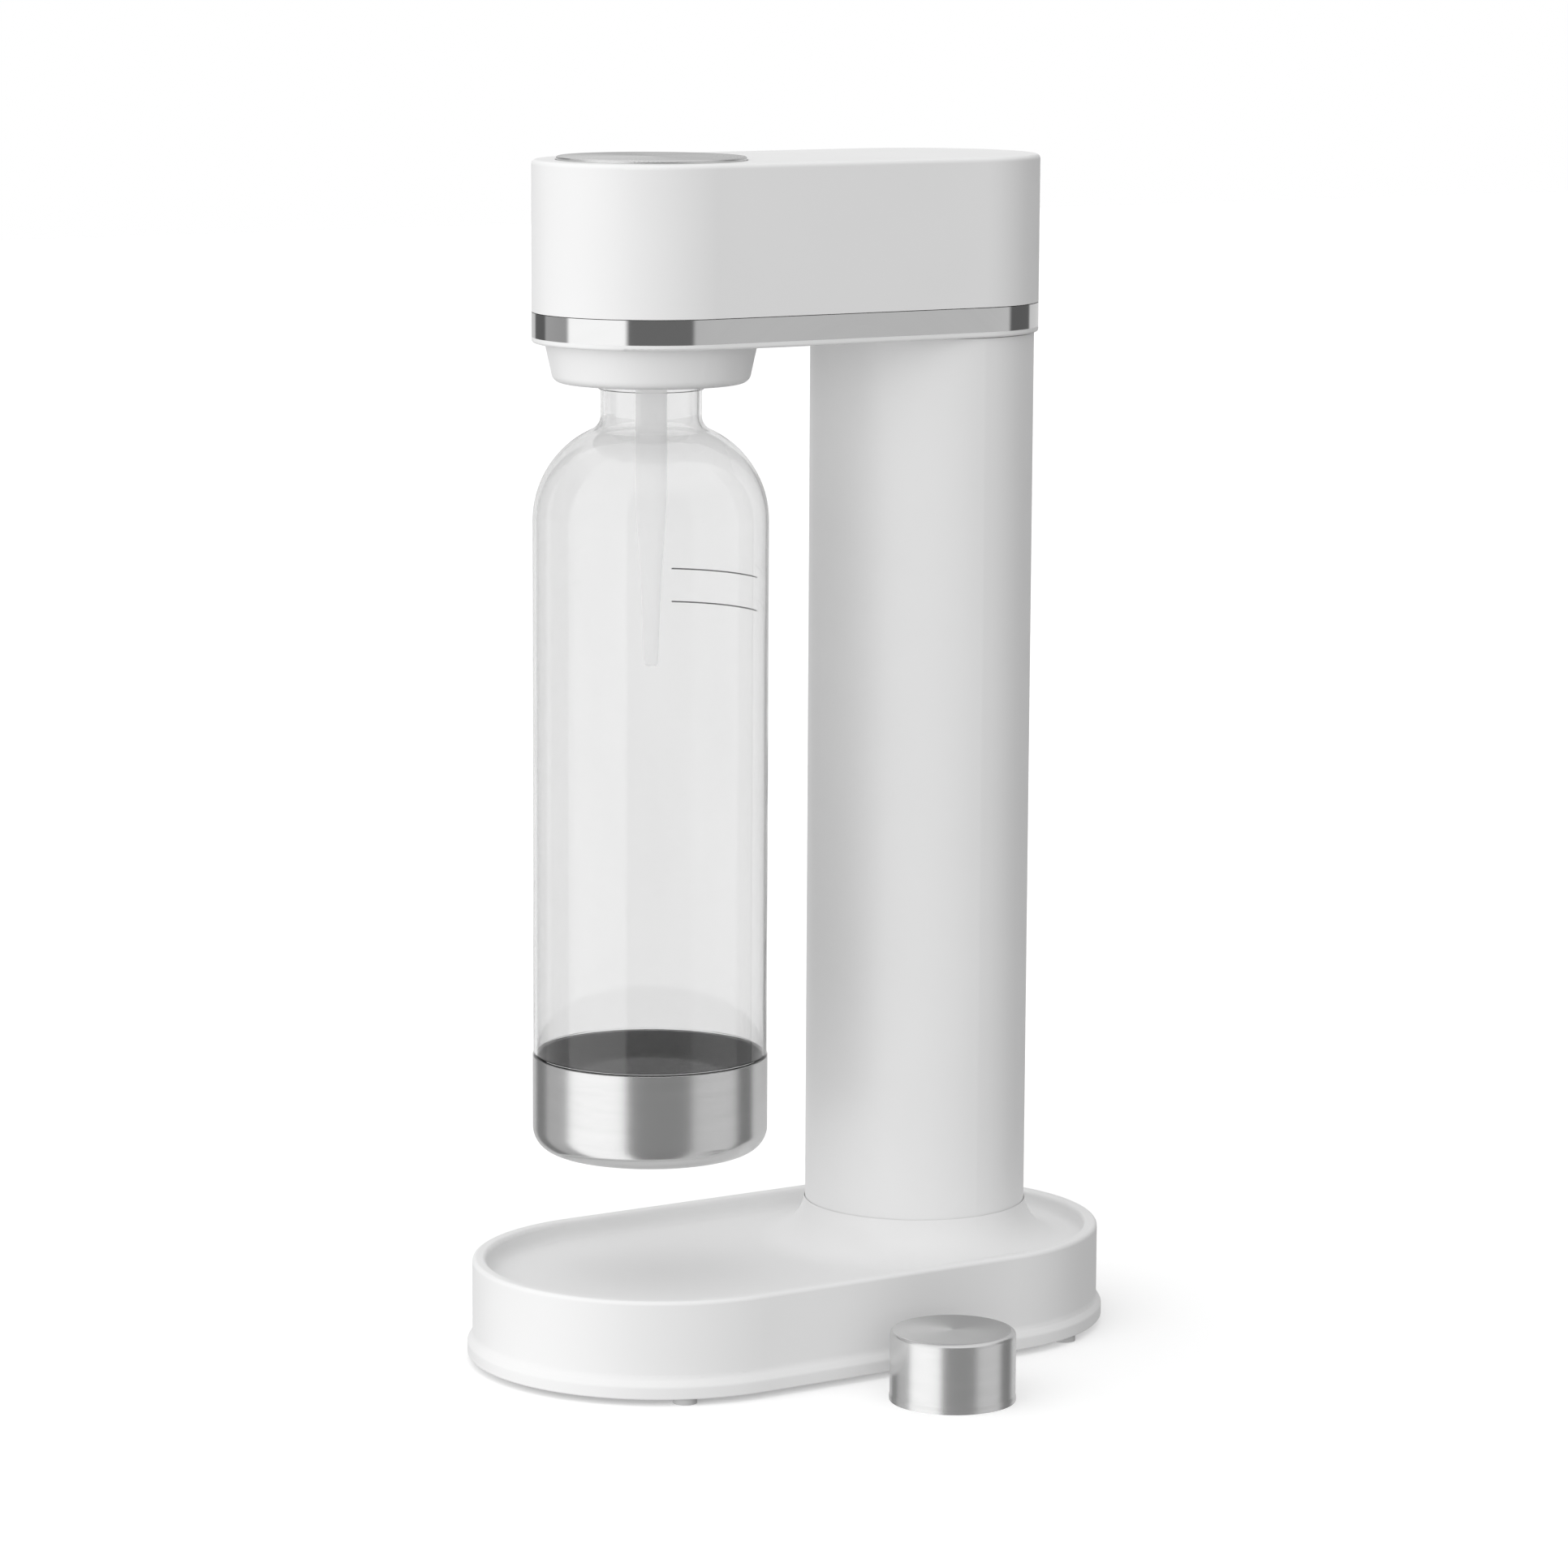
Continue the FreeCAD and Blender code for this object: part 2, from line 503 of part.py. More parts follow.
def racetrack(corners, front_y, back_y):
    """The section carried round a racetrack outline whose two half circles centre on front_y and back_y."""
    face = section(corners)
    front = face.revolve(V(0, 0, 0), Z, -180)
    front.translate(V(0, front_y, 0))
    back = face.revolve(V(0, 0, 0), Z, 180)
    back.translate(V(0, back_y, 0))
    right = face.extrude(V(0, back_y - front_y, 0))
    right.translate(V(0, front_y, 0))
    left = right.mirror(V(0, 0, 0), V(1, 0, 0))
    return front.fuse([back, right, left]).removeSplitter()


def rod(radius, z0, z1, x=0.0, y=0.0):
    """An upright round bar."""
    return Part.makeCylinder(radius, z1 - z0, V(x, y, z0))


def bar_along_x(radius, x0, x1, y, z):
    """A round bar lying along X."""
    return Part.makeCylinder(radius, x1 - x0, V(x0, y, z), V(1, 0, 0))


def bar_along_y(radius, y0, y1, z):
    """A round bar lying along Y over the middle line."""
    return Part.makeCylinder(radius, y1 - y0, V(0, y0, z), V(0, 1, 0))


def pipe(outer, inner, z0, z1, x=0.0, y=0.0):
    """An upright tube."""
    return rod(outer, z0, z1, x, y).cut(rod(inner, z0, z1, x, y))


def box(x0, x1, y0, y1, z0, z1):
    """A box between two corners."""
    return Part.makeBox(x1 - x0, y1 - y0, z1 - z0, V(x0, y0, z0))


def side_plate(side, x0, x1, y0, y1, z0, z1):
    """A box from x0 to x1 on the +X side (1), or its mirror image on the other (-1)."""
    low, high = sorted((side * x0, side * x1))
    return box(low, high, y0, y1, z0, z1)


def prism(sides, corner_radius, height):
    """An upright regular prism standing on the origin."""
    turns = [2 * math.pi * k / sides for k in range(sides)]
    corners = [V(corner_radius * math.cos(t), corner_radius * math.sin(t), 0) for t in turns]
    return Part.Face(Part.makePolygon(corners + corners[:1])).extrude(V(0, 0, height))


def around(circle, angles, y):
    """Places (x, y) on a circle about the upright axis at y."""
    for angle in angles:
        turn = math.radians(angle)
        yield circle * math.cos(turn), y + circle * math.sin(turn)


def post_places():
    """The three posts that carry the button's guide."""
    return list(around(POST_CIRCLE, POST_ANGLES, BOTTLE_Y))


def collar_screw_places():
    """The three screws round the bottle's fitting."""
    return list(around(COLLAR_SCREW_CIRCLE, COLLAR_SCREW_ANGLES, BOTTLE_Y))


def tie_rod_places():
    """The four rods round the gas cylinder."""
    return list(around(TIE_ROD_CIRCLE, TIE_ROD_ANGLES, COLUMN_Y))


def head_screw_places():
    """The four places where the head's casing is screwed down."""
    ys = (HEAD_MIDDLE_Y - HEAD_BOSS_SPACING / 2, HEAD_MIDDLE_Y + HEAD_BOSS_SPACING / 2)
    return [(side * HEAD_BOSS_X, y) for side in (-1, 1) for y in ys]


def back_screw_places():
    """The two screws of the bottom plate behind the column."""
    return list(around(BASE_SCREW_CIRCLE, (BASE_SCREW_ANGLE, 180 - BASE_SCREW_ANGLE), COLUMN_Y))


def front_screw_places():
    """The two screws of the bottom plate at the front."""
    return [(x, -y) for x, y in back_screw_places()]


def side_screw_places():
    """The two screws of the bottom plate at its sides."""
    return [(-BASE_SCREW_CIRCLE, 0), (BASE_SCREW_CIRCLE, 0)]


def base_screw_places():
    """The six places where the bottom plate is screwed on."""
    return back_screw_places() + front_screw_places() + side_screw_places()


def screw(x, y, seat_z, length, head_above=False):
    """A pan-head screw: its head lies below seat_z, or above it, and its shank runs the other way."""
    head = rod(SCREW_HEAD_RADIUS, -SCREW_HEAD_HEIGHT, 0)
    rim = [e for e in head.Edges if e.BoundBox.ZMax < -SCREW_HEAD_HEIGHT / 2]
    head = head.makeFillet(SCREW_HEAD_ROUNDING, rim)
    head = head.cut(rod(SCREW_DRIVE_RADIUS, -SCREW_HEAD_HEIGHT, SCREW_DRIVE_DEPTH - SCREW_HEAD_HEIGHT))
    body = head.fuse(rod(SCREW_SHANK_RADIUS, 0, length)).removeSplitter()
    if head_above:
        body = body.mirror(V(0, 0, 0), Z)
    body.translate(V(x, y, seat_z))
    return body


def screws(places, seat_z, length, head_above=False):
    """A screw at each place."""
    return Part.makeCompound([screw(x, y, seat_z, length, head_above) for x, y in places])


def with_screw_bosses(body, places):
    """The body with a bored boss for a screw of the bottom plate under it at each place."""
    for x, y in places:
        body = body.fuse(rod(BASE_BOSS_RADIUS, PLATE_PAD_TOP_Z, TRAY_UNDERSIDE_Z, x, y))
        body = body.cut(rod(SCREW_SHANK_RADIUS, PLATE_PAD_TOP_Z, PLATE_PAD_TOP_Z + SCREW_BITE, x, y))
    return body


def thread_sectors(root, crest, first_z, width, start_angle, y=0.0, x=0.0):
    """Interrupted thread: rows of chamfered ridges from the root radius to the crest radius."""
    ridges = []
    for row in range(THREAD_ROWS):
        z = first_z + row * THREAD_PITCH
        top = z + THREAD_HEIGHT
        face = section([(root, z), (crest, z + THREAD_CHAMFER), (crest, top - THREAD_CHAMFER), (root, top)])
        for k in range(THREAD_SECTORS):
            ridge = face.revolve(V(0, 0, 0), Z, width)
            ridge.rotate(V(0, 0, 0), Z, start_angle + k * 360.0 / THREAD_SECTORS - width / 2)
            ridge.translate(V(x, y, 0))
            ridges.append(ridge)
    return ridges


def export(name, shape):
    """Writes one node, after checking that each of its solids is sound."""
    if not shape.Solids or not all(s.isValid() and s.Volume > 0 for s in shape.Solids):
        raise ValueError("unsound solid in " + name)
    shape = shape.Solids[0] if len(shape.Solids) == 1 else Part.makeCompound(shape.Solids)
    shape.exportStep("parts/" + name + ".step")


# ---- Head ----
def head_shell():
    """The white casing of the head, open underneath, with the button's round hole and its sleeve."""
    shell = racetrack([
        (SHELL_INNER, SHELL_Z),
        (HEAD_RADIUS, SHELL_Z),
        (HEAD_RADIUS, HEAD_TOP_Z, SHELL_EDGE_ROUNDING),
        (0, HEAD_TOP_Z),
        (0, SHELL_CEILING_Z),
        (SHELL_INNER, SHELL_CEILING_Z),
    ], BOTTLE_Y, COLUMN_Y)
    sleeve_radius = BUTTON_HOLE_RADIUS + SLEEVE_WALL
    shell = shell.fuse(rod(sleeve_radius, SLEEVE_BOTTOM_Z, SHELL_CEILING_Z, 0, BOTTLE_Y))
    boss_z = HEAD_RIM_TOP_Z + SEAM_GAP
    boss_top = boss_z + HEAD_BOSS_LENGTH
    for x, y in head_screw_places():
        side = math.copysign(1, x)
        shell = shell.fuse(rod(HEAD_BOSS_RADIUS, boss_z, boss_top, x, y))
        shell = shell.fuse(side_plate(side, HEAD_BOSS_X, SHELL_INNER + SHELL_WALL / 2,
                                      y - WEB_THICKNESS / 2, y + WEB_THICKNESS / 2, boss_z, boss_top))
        shell = shell.cut(rod(SCREW_SHANK_RADIUS, boss_z, boss_z + SCREW_BITE, x, y))
    return shell.cut(rod(BUTTON_HOLE_RADIUS, SLEEVE_BOTTOM_Z, HEAD_TOP_Z, 0, BOTTLE_Y))


def trim_band():
    """The polished steel band round the foot of the head."""
    return racetrack([
        (BAND_INNER, BAND_Z),
        (HEAD_RADIUS, BAND_Z),
        (HEAD_RADIUS, BAND_TOP_Z),
        (BAND_INNER, BAND_TOP_Z),
    ], BOTTLE_Y, COLUMN_Y)


def head_base():
    """The head's floor: it carries the band, the nozzle, the valve block and the button's guide."""
    base = racetrack([
        (0, HEAD_UNDERSIDE_Z),
        (HEAD_RADIUS, HEAD_UNDERSIDE_Z, LIP_ROUNDING),
        (HEAD_RADIUS, BAND_Z),
        (BAND_INNER, BAND_Z),
        (BAND_INNER, BAND_TOP_Z),
        (RIM_OUTER, BAND_TOP_Z),
        (RIM_OUTER, HEAD_RIM_TOP_Z),
        (RIM_INNER, HEAD_RIM_TOP_Z),
        (RIM_INNER, PLATE_TOP_Z),
        (0, PLATE_TOP_Z),
    ], BOTTLE_Y, COLUMN_Y)
    for x, y in head_screw_places():
        side = math.copysign(1, x)
        base = base.fuse(rod(HEAD_BOSS_RADIUS, PLATE_TOP_Z, HEAD_RIM_TOP_Z, x, y))
        base = base.fuse(side_plate(side, HEAD_BOSS_X, RIM_INNER + HEAD_RIM_WALL / 2, y - WEB_THICKNESS / 2,
                                    y + WEB_THICKNESS / 2, PLATE_TOP_Z, HEAD_RIM_TOP_Z))
        base = base.cut(rod(SCREW_HOLE_RADIUS, HEAD_UNDERSIDE_Z, HEAD_RIM_TOP_Z, x, y))
        base = base.cut(rod(COUNTERBORE_RADIUS, HEAD_UNDERSIDE_Z, HEAD_SEAT_Z, x, y))
    for x, y in post_places():
        base = base.fuse(rod(POST_RADIUS, PLATE_TOP_Z, GUIDE_Z, x, y))
        base = base.cut(rod(SCREW_SHANK_RADIUS, GUIDE_Z - SCREW_BITE, GUIDE_Z, x, y))
    base = base.cut(rod(NECK_HOLE_RADIUS, HEAD_UNDERSIDE_Z, PLATE_TOP_Z, 0, BOTTLE_Y))
    for x, y in collar_screw_places():
        base = base.cut(rod(SCREW_HOLE_RADIUS, HEAD_UNDERSIDE_Z, PLATE_TOP_Z, x, y))
    spigot_z = HEAD_UNDERSIDE_Z - SPIGOT_DEPTH
    spigot_bore = SPIGOT_RADIUS - SPIGOT_WALL
    base = base.fuse(pipe(SPIGOT_RADIUS, spigot_bore, spigot_z, HEAD_UNDERSIDE_Z, 0, COLUMN_Y))
    base = base.cut(rod(BLOCK_SPIGOT_RADIUS + FACE_GAP, HEAD_UNDERSIDE_Z, PLATE_TOP_Z, 0, COLUMN_Y))
    for x, y in tie_rod_places():
        base = base.cut(rod(TIE_ROD_RADIUS + SCREW_HOLE_CLEARANCE, HEAD_UNDERSIDE_Z, PLATE_TOP_Z, x, y))
    return base


def head_screws():
    """The screws that hold the casing down on the head's floor."""
    length = HEAD_RIM_TOP_Z + SEAM_GAP - HEAD_SEAT_Z + SCREW_BITE
    return screws(head_screw_places(), HEAD_SEAT_Z, length)


# ---- Push button ----
def push_button():
    """The brushed steel lid that the thumb presses."""
    skirt_z = BUTTON_TOP_Z - BUTTON_SKIRT
    return turned([
        (0, CARRIER_TOP_Z),
        (CARRIER_RADIUS, CARRIER_TOP_Z),
        (CARRIER_RADIUS, skirt_z),
        (BUTTON_RADIUS, skirt_z),
        (BUTTON_RADIUS, BUTTON_TOP_Z, BUTTON_EDGE_ROUNDING),
        (0, BUTTON_TOP_Z),
    ], BOTTLE_Y)


def button_carrier():
    """The moulded cup under the lid, with the flange that stops it and the stem that pushes the lever."""
    inner = CARRIER_RADIUS - CARRIER_WALL
    underside = CARRIER_TOP_Z - CARRIER_TOP
    return turned([
        (0, STEM_BOTTOM_Z),
        (STEM_RADIUS, STEM_BOTTOM_Z, STEM_ROUNDING),
        (STEM_RADIUS, underside),
        (inner, underside),
        (inner, CARRIER_FLANGE_Z),
        (CARRIER_FLANGE_RADIUS, CARRIER_FLANGE_Z),
        (CARRIER_FLANGE_RADIUS, SLEEVE_BOTTOM_Z),
        (CARRIER_RADIUS, SLEEVE_BOTTOM_Z),
        (CARRIER_RADIUS, CARRIER_TOP_Z),
        (0, CARRIER_TOP_Z),
    ], BOTTLE_Y)


def button_guide():
    """The bridge that guides the button's stem and seats its spring."""
    boss_z = GUIDE_Z - GUIDE_BOSS_DEPTH
    hole = STEM_RADIUS + STEM_CLEARANCE
    guide = rod(GUIDE_RADIUS, GUIDE_Z, GUIDE_TOP_Z, 0, BOTTLE_Y)
    guide = guide.fuse(rod(hole + GUIDE_BOSS_WALL, boss_z, GUIDE_Z, 0, BOTTLE_Y))
    guide = guide.cut(rod(hole, boss_z, GUIDE_TOP_Z, 0, BOTTLE_Y))
    for x, y in post_places():
        guide = guide.cut(rod(SCREW_HOLE_RADIUS, GUIDE_Z, GUIDE_TOP_Z, x, y))
    return guide.removeSplitter()


def guide_screws():
    """The screws that hold the bridge on its posts."""
    return screws(post_places(), GUIDE_TOP_Z, GUIDE_THICKNESS + SCREW_BITE, head_above=True)


def button_spring():
    """The coil spring that returns the button."""
    bottom = GUIDE_TOP_Z + SPRING_WIRE_RADIUS + RUNNING_CLEARANCE
    height = CARRIER_TOP_Z - CARRIER_TOP - SPRING_WIRE_RADIUS - RUNNING_CLEARANCE - bottom
    helix = Part.makeHelix(height / SPRING_TURNS, height, SPRING_RADIUS)
    outside = V(SPRING_RADIUS + SPRING_WIRE_RADIUS, 0, 0)
    inside = V(SPRING_RADIUS - SPRING_WIRE_RADIUS, 0, 0)
    above = V(SPRING_RADIUS, 0, SPRING_WIRE_RADIUS)
    below = V(SPRING_RADIUS, 0, -SPRING_WIRE_RADIUS)
    upper_half = Part.Arc(outside, above, inside).toShape()
    lower_half = Part.Arc(inside, below, outside).toShape()
    spring = Part.Wire(helix.Edges).makePipeShell([Part.Wire([upper_half, lower_half])], True, True)
    spring.translate(V(0, BOTTLE_Y, bottom))
    return spring


# ---- Lever ----
def actuating_lever():
    """The pressed steel channel that carries the button's push back to the valve."""
    front_y = BOTTLE_Y - LEVER_FRONT_OVERHANG
    back_y = PIVOT_Y + LEVER_BACK_OVERHANG
    half = LEVER_WIDTH / 2
    web = box(-half, half, front_y, back_y, LEVER_WEB_Z, LEVER_TOP_Z)
    corners = [e for e in web.Edges if e.BoundBox.YMax < front_y + FACE_GAP and e.BoundBox.XLength < FACE_GAP]
    lever = web.makeFillet(LEVER_FRONT_ROUNDING, corners)
    for side in (-1, 1):
        lever = lever.fuse(side_plate(side, half - LEVER_SHEET, half, LEVER_CHEEK_FRONT_Y, back_y,
                                      LEVER_TOP_Z - LEVER_DEPTH, LEVER_WEB_Z))
    pin_hole = bar_along_x(PIN_RADIUS + RUNNING_CLEARANCE, -half, half, PIVOT_Y, PIVOT_Z)
    return lever.cut(pin_hole).removeSplitter()


def lever_pin():
    """The pin that the lever turns on, held in the valve block's two ears."""
    reach = EAR_X + EAR_THICKNESS
    return bar_along_x(PIN_RADIUS, -reach, reach, PIVOT_Y, PIVOT_Z)


# ---- Gas valve ----
def valve_block():
    """The block that the gas cylinder screws into, with the lever's two ears."""
    spigot_z = PLATE_TOP_Z - BLOCK_SPIGOT_DEPTH
    block = rod(BLOCK_FLANGE_RADIUS, PLATE_TOP_Z, BLOCK_FLANGE_TOP_Z, 0, COLUMN_Y)
    block = block.fuse(rod(BLOCK_RADIUS, BLOCK_FLANGE_TOP_Z, BLOCK_TOP_Z, 0, COLUMN_Y))
    block = block.fuse(rod(BLOCK_SPIGOT_RADIUS, spigot_z, PLATE_TOP_Z, 0, COLUMN_Y))
    block = block.fuse(rod(PLUNGER_BOSS_RADIUS, BLOCK_TOP_Z, PLUNGER_BOSS_TOP_Z, 0, COLUMN_Y))
    block = block.fuse(box(-INLET_HALF_WIDTH, INLET_HALF_WIDTH, BLOCK_PORT_Y, COLUMN_Y,
                           BLOCK_FLANGE_TOP_Z, BLOCK_TOP_Z))
    for side in (-1, 1):
        ear = side_plate(side, EAR_X, EAR_X + EAR_THICKNESS, PIVOT_Y - EAR_RADIUS, PIVOT_Y + EAR_RADIUS,
                         PLATE_TOP_Z, PIVOT_Z)
        left = min(side * EAR_X, side * (EAR_X + EAR_THICKNESS))
        block = block.fuse(ear.fuse(bar_along_x(EAR_RADIUS, left, left + EAR_THICKNESS, PIVOT_Y, PIVOT_Z)))
    groove_radius = PLUNGER_HOLE_RADIUS + 2 * ORING_CORD_RADIUS
    groove_z = ORING_Z - ORING_CORD_RADIUS
    spigot_end = BLOCK_PORT_Y + FITTING_SPIGOT_LENGTH
    block = block.cut(rod(VALVE_SOCKET_RADIUS, spigot_z, SOCKET_CEILING_Z, 0, COLUMN_Y))
    block = block.cut(rod(PLUNGER_HOLE_RADIUS, SOCKET_CEILING_Z, PLUNGER_BOSS_TOP_Z, 0, COLUMN_Y))
    block = block.cut(rod(groove_radius, groove_z, groove_z + 2 * ORING_CORD_RADIUS, 0, COLUMN_Y))
    block = block.cut(bar_along_y(GAS_PORT_RADIUS, BLOCK_PORT_Y, COLUMN_Y, HOSE_Z))
    block = block.cut(bar_along_y(FITTING_SPIGOT_RADIUS, BLOCK_PORT_Y, spigot_end, HOSE_Z))
    block = block.cut(bar_along_x(GAS_PORT_RADIUS, 0, BLOCK_RADIUS, COLUMN_Y, HOSE_Z))
    block = block.cut(relief_shank())
    block = block.cut(lever_pin())
    for x, y in tie_rod_places():
        block = block.cut(rod(TIE_ROD_RADIUS + SCREW_HOLE_CLEARANCE, PLATE_TOP_Z, BLOCK_FLANGE_TOP_Z, x, y))
    return block.removeSplitter()


def valve_plunger():
    """The plunger that the lever presses down on the cylinder's valve pin."""
    return turned([
        (0, PLUNGER_BOTTOM_Z),
        (PLUNGER_RADIUS, PLUNGER_BOTTOM_Z),
        (PLUNGER_RADIUS, PLUNGER_HEAD_Z),
        (PLUNGER_HEAD_RADIUS, PLUNGER_HEAD_Z),
        (PLUNGER_HEAD_RADIUS, PLUNGER_TOP_Z, PLUNGER_HEAD_ROUNDING),
        (0, PLUNGER_TOP_Z),
    ], COLUMN_Y)


def plunger_seal():
    """The O-ring round the plunger."""
    return Part.makeTorus(PLUNGER_HOLE_RADIUS + ORING_CORD_RADIUS, ORING_CORD_RADIUS - RUNNING_CLEARANCE,
                          V(0, COLUMN_Y, ORING_Z))


def cylinder_gasket():
    """The rubber washer that the cylinder's valve seals against."""
    return pipe(GASKET_RADIUS, GASKET_BORE_RADIUS, CYLINDER_TOP_Z, SOCKET_CEILING_Z, 0, COLUMN_Y)


def relief_shank():
    """The part of the relief valve that screws into the block."""
    start = BLOCK_RADIUS - RELIEF_SHANK_LENGTH
    return bar_along_x(RELIEF_SHANK_RADIUS, start, BLOCK_RADIUS, COLUMN_Y, HOSE_Z)


def relief_valve():
    """The safety valve cartridge in the side of the valve block."""
    hexagon = prism(6, FITTING_RADIUS, RELIEF_HEX_LENGTH)
    hexagon.rotate(V(0, 0, 0), V(0, 1, 0), 90)
    hexagon.translate(V(BLOCK_RADIUS, COLUMN_Y, HOSE_Z))
    end = BLOCK_RADIUS + RELIEF_LENGTH
    barrel = bar_along_x(RELIEF_BARREL_RADIUS, BLOCK_RADIUS + RELIEF_HEX_LENGTH, end, COLUMN_Y, HOSE_Z)
    valve = relief_shank().fuse([hexagon, barrel])
    return valve.cut(bar_along_x(GAS_PORT_RADIUS, BLOCK_RADIUS + RELIEF_HEX_LENGTH, end, COLUMN_Y, HOSE_Z))


# ---- Gas line ----
def hose_fitting(port_y, inward):
    """A push-in hose fitting whose spigot points inward (+1 or -1 along Y) from a port's face."""
    def bar(radius, start, end):
        low, high = sorted((port_y + inward * start, port_y + inward * end))
        return bar_along_y(radius, low, high, HOSE_Z)

    body = bar(FITTING_RADIUS, -FITTING_LENGTH, 0)
    rim = [e for e in body.Edges if abs(e.BoundBox.YMin - port_y) > FITTING_LENGTH / 2]
    body = body.makeFillet(FITTING_ROUNDING, rim)
    body = body.fuse(bar(FITTING_SPIGOT_RADIUS, 0, FITTING_SPIGOT_LENGTH))
    body = body.cut(bar(HOSE_BORE_RADIUS, -FITTING_LENGTH, FITTING_SPIGOT_LENGTH))
    return body.cut(bar(HOSE_RADIUS, -FITTING_LENGTH, HOSE_INSERTION - FITTING_LENGTH))


def hose_fitting_rear():
    """The fitting on the valve block."""
    return hose_fitting(BLOCK_PORT_Y, 1)


def hose_fitting_front():
    """The fitting on the nozzle's head."""
    return hose_fitting(NOZZLE_PORT_Y, -1)


def gas_hose():
    """The short straight hose from the valve block to the nozzle."""
    start = NOZZLE_PORT_Y + FITTING_LENGTH - HOSE_INSERTION
    end = BLOCK_PORT_Y - FITTING_LENGTH + HOSE_INSERTION
    return bar_along_y(HOSE_RADIUS, start, end, HOSE_Z).cut(bar_along_y(HOSE_BORE_RADIUS, start, end, HOSE_Z))


# ---- Nozzle and bottle fitting ----
def nozzle_collar():
    """The white cup under the head that the bottle's neck goes up into."""
    collar = turned([
        (COLLAR_BORE_RADIUS, COLLAR_BOTTOM_Z),
        (COLLAR_BOTTOM_RADIUS, COLLAR_BOTTOM_Z, COLLAR_EDGE_ROUNDING),
        (COLLAR_TOP_RADIUS, HEAD_UNDERSIDE_Z),
        (COLLAR_TOP_RADIUS - COLLAR_WALL, HEAD_UNDERSIDE_Z),
        (COLLAR_BOTTOM_RADIUS - COLLAR_WALL, COLLAR_FLOOR_Z, COLLAR_EDGE_ROUNDING - COLLAR_WALL),
        (COLLAR_BORE_RADIUS, COLLAR_FLOOR_Z),
    ], BOTTLE_Y)
    for x, y in collar_screw_places():
        collar = collar.fuse(rod(COLLAR_BOSS_RADIUS, COLLAR_FLOOR_Z, HEAD_UNDERSIDE_Z, x, y))
        collar = collar.cut(rod(SCREW_SHANK_RADIUS, HEAD_UNDERSIDE_Z - SCREW_BITE, HEAD_UNDERSIDE_Z, x, y))
    return collar


def bottle_lock_ring():
    """The ring inside the collar whose lugs hold the bottle's thread."""
    ring = turned([
        (RING_BORE_RADIUS, COLLAR_FLOOR_Z),
        (RING_FLANGE_RADIUS, COLLAR_FLOOR_Z),
        (RING_FLANGE_RADIUS, RING_FLANGE_TOP_Z),
        (RING_RADIUS, RING_FLANGE_TOP_Z),
        (RING_RADIUS, PLATE_TOP_Z),
        (RING_BORE_RADIUS, PLATE_TOP_Z),
    ], BOTTLE_Y)
    for x, y in collar_screw_places():
        ring = ring.cut(rod(COLLAR_BOSS_RADIUS + FACE_GAP, COLLAR_FLOOR_Z, RING_FLANGE_TOP_Z, x, y))
    crest = RING_BORE_RADIUS - RING_LUG_DEPTH
    between = 180.0 / THREAD_SECTORS
    return ring.fuse(thread_sectors(RING_BORE_RADIUS, crest, THREAD_Z, RING_LUG_ANGLE, between, BOTTLE_Y))


def collar_screws():
    """The screws that clamp the nozzle's head, the head's floor and the collar together."""
    length = NOZZLE_DISC_HEIGHT + HEAD_PLATE_THICKNESS + SCREW_BITE
    return screws(collar_screw_places(), NOZZLE_DISC_TOP_Z, length, head_above=True)


def ball_space():
    """The round space that the nozzle tube's ball turns in."""
    return Part.makeSphere(SOCKET_BALL_RADIUS, V(0, BOTTLE_Y, NOZZLE_PIVOT_Z))


def nozzle_head():
    """The disc that closes the bottle's mouth, with the gas inlet and the nozzle tube's ball socket."""
    half = INLET_HALF_WIDTH
    head = rod(NOZZLE_DISC_RADIUS, PLATE_TOP_Z, NOZZLE_DISC_TOP_Z, 0, BOTTLE_Y)
    head = head.fuse(box(-half, half, BOTTLE_Y - half, NOZZLE_PORT_Y, NOZZLE_DISC_TOP_Z, INLET_TOP_Z))
    head = head.fuse(rod(NOZZLE_SPIGOT_RADIUS, NOZZLE_PIVOT_Z, PLATE_TOP_Z, 0, BOTTLE_Y))
    head = head.cut(ball_space())
    head = head.cut(rod(GAS_PORT_RADIUS, NOZZLE_PIVOT_Z, HOSE_Z, 0, BOTTLE_Y))
    head = head.cut(bar_along_y(GAS_PORT_RADIUS, BOTTLE_Y, NOZZLE_PORT_Y, HOSE_Z))
    spigot_end = NOZZLE_PORT_Y - FITTING_SPIGOT_LENGTH
    head = head.cut(bar_along_y(FITTING_SPIGOT_RADIUS, spigot_end, NOZZLE_PORT_Y, HOSE_Z))
    for x, y in collar_screw_places():
        head = head.cut(rod(SCREW_HOLE_RADIUS, PLATE_TOP_Z, NOZZLE_DISC_TOP_Z, x, y))
    return head.removeSplitter()


def nozzle_retainer():
    """The ring under the socket that keeps the tube's ball in."""
    bottom = NOZZLE_PIVOT_Z - RETAINER_HEIGHT
    ring = rod(NOZZLE_SPIGOT_RADIUS, bottom, NOZZLE_PIVOT_Z, 0, BOTTLE_Y)
    return ring.cut(ball_space()).cut(rod(RETAINER_OPENING_RADIUS, bottom, NOZZLE_PIVOT_Z, 0, BOTTLE_Y))


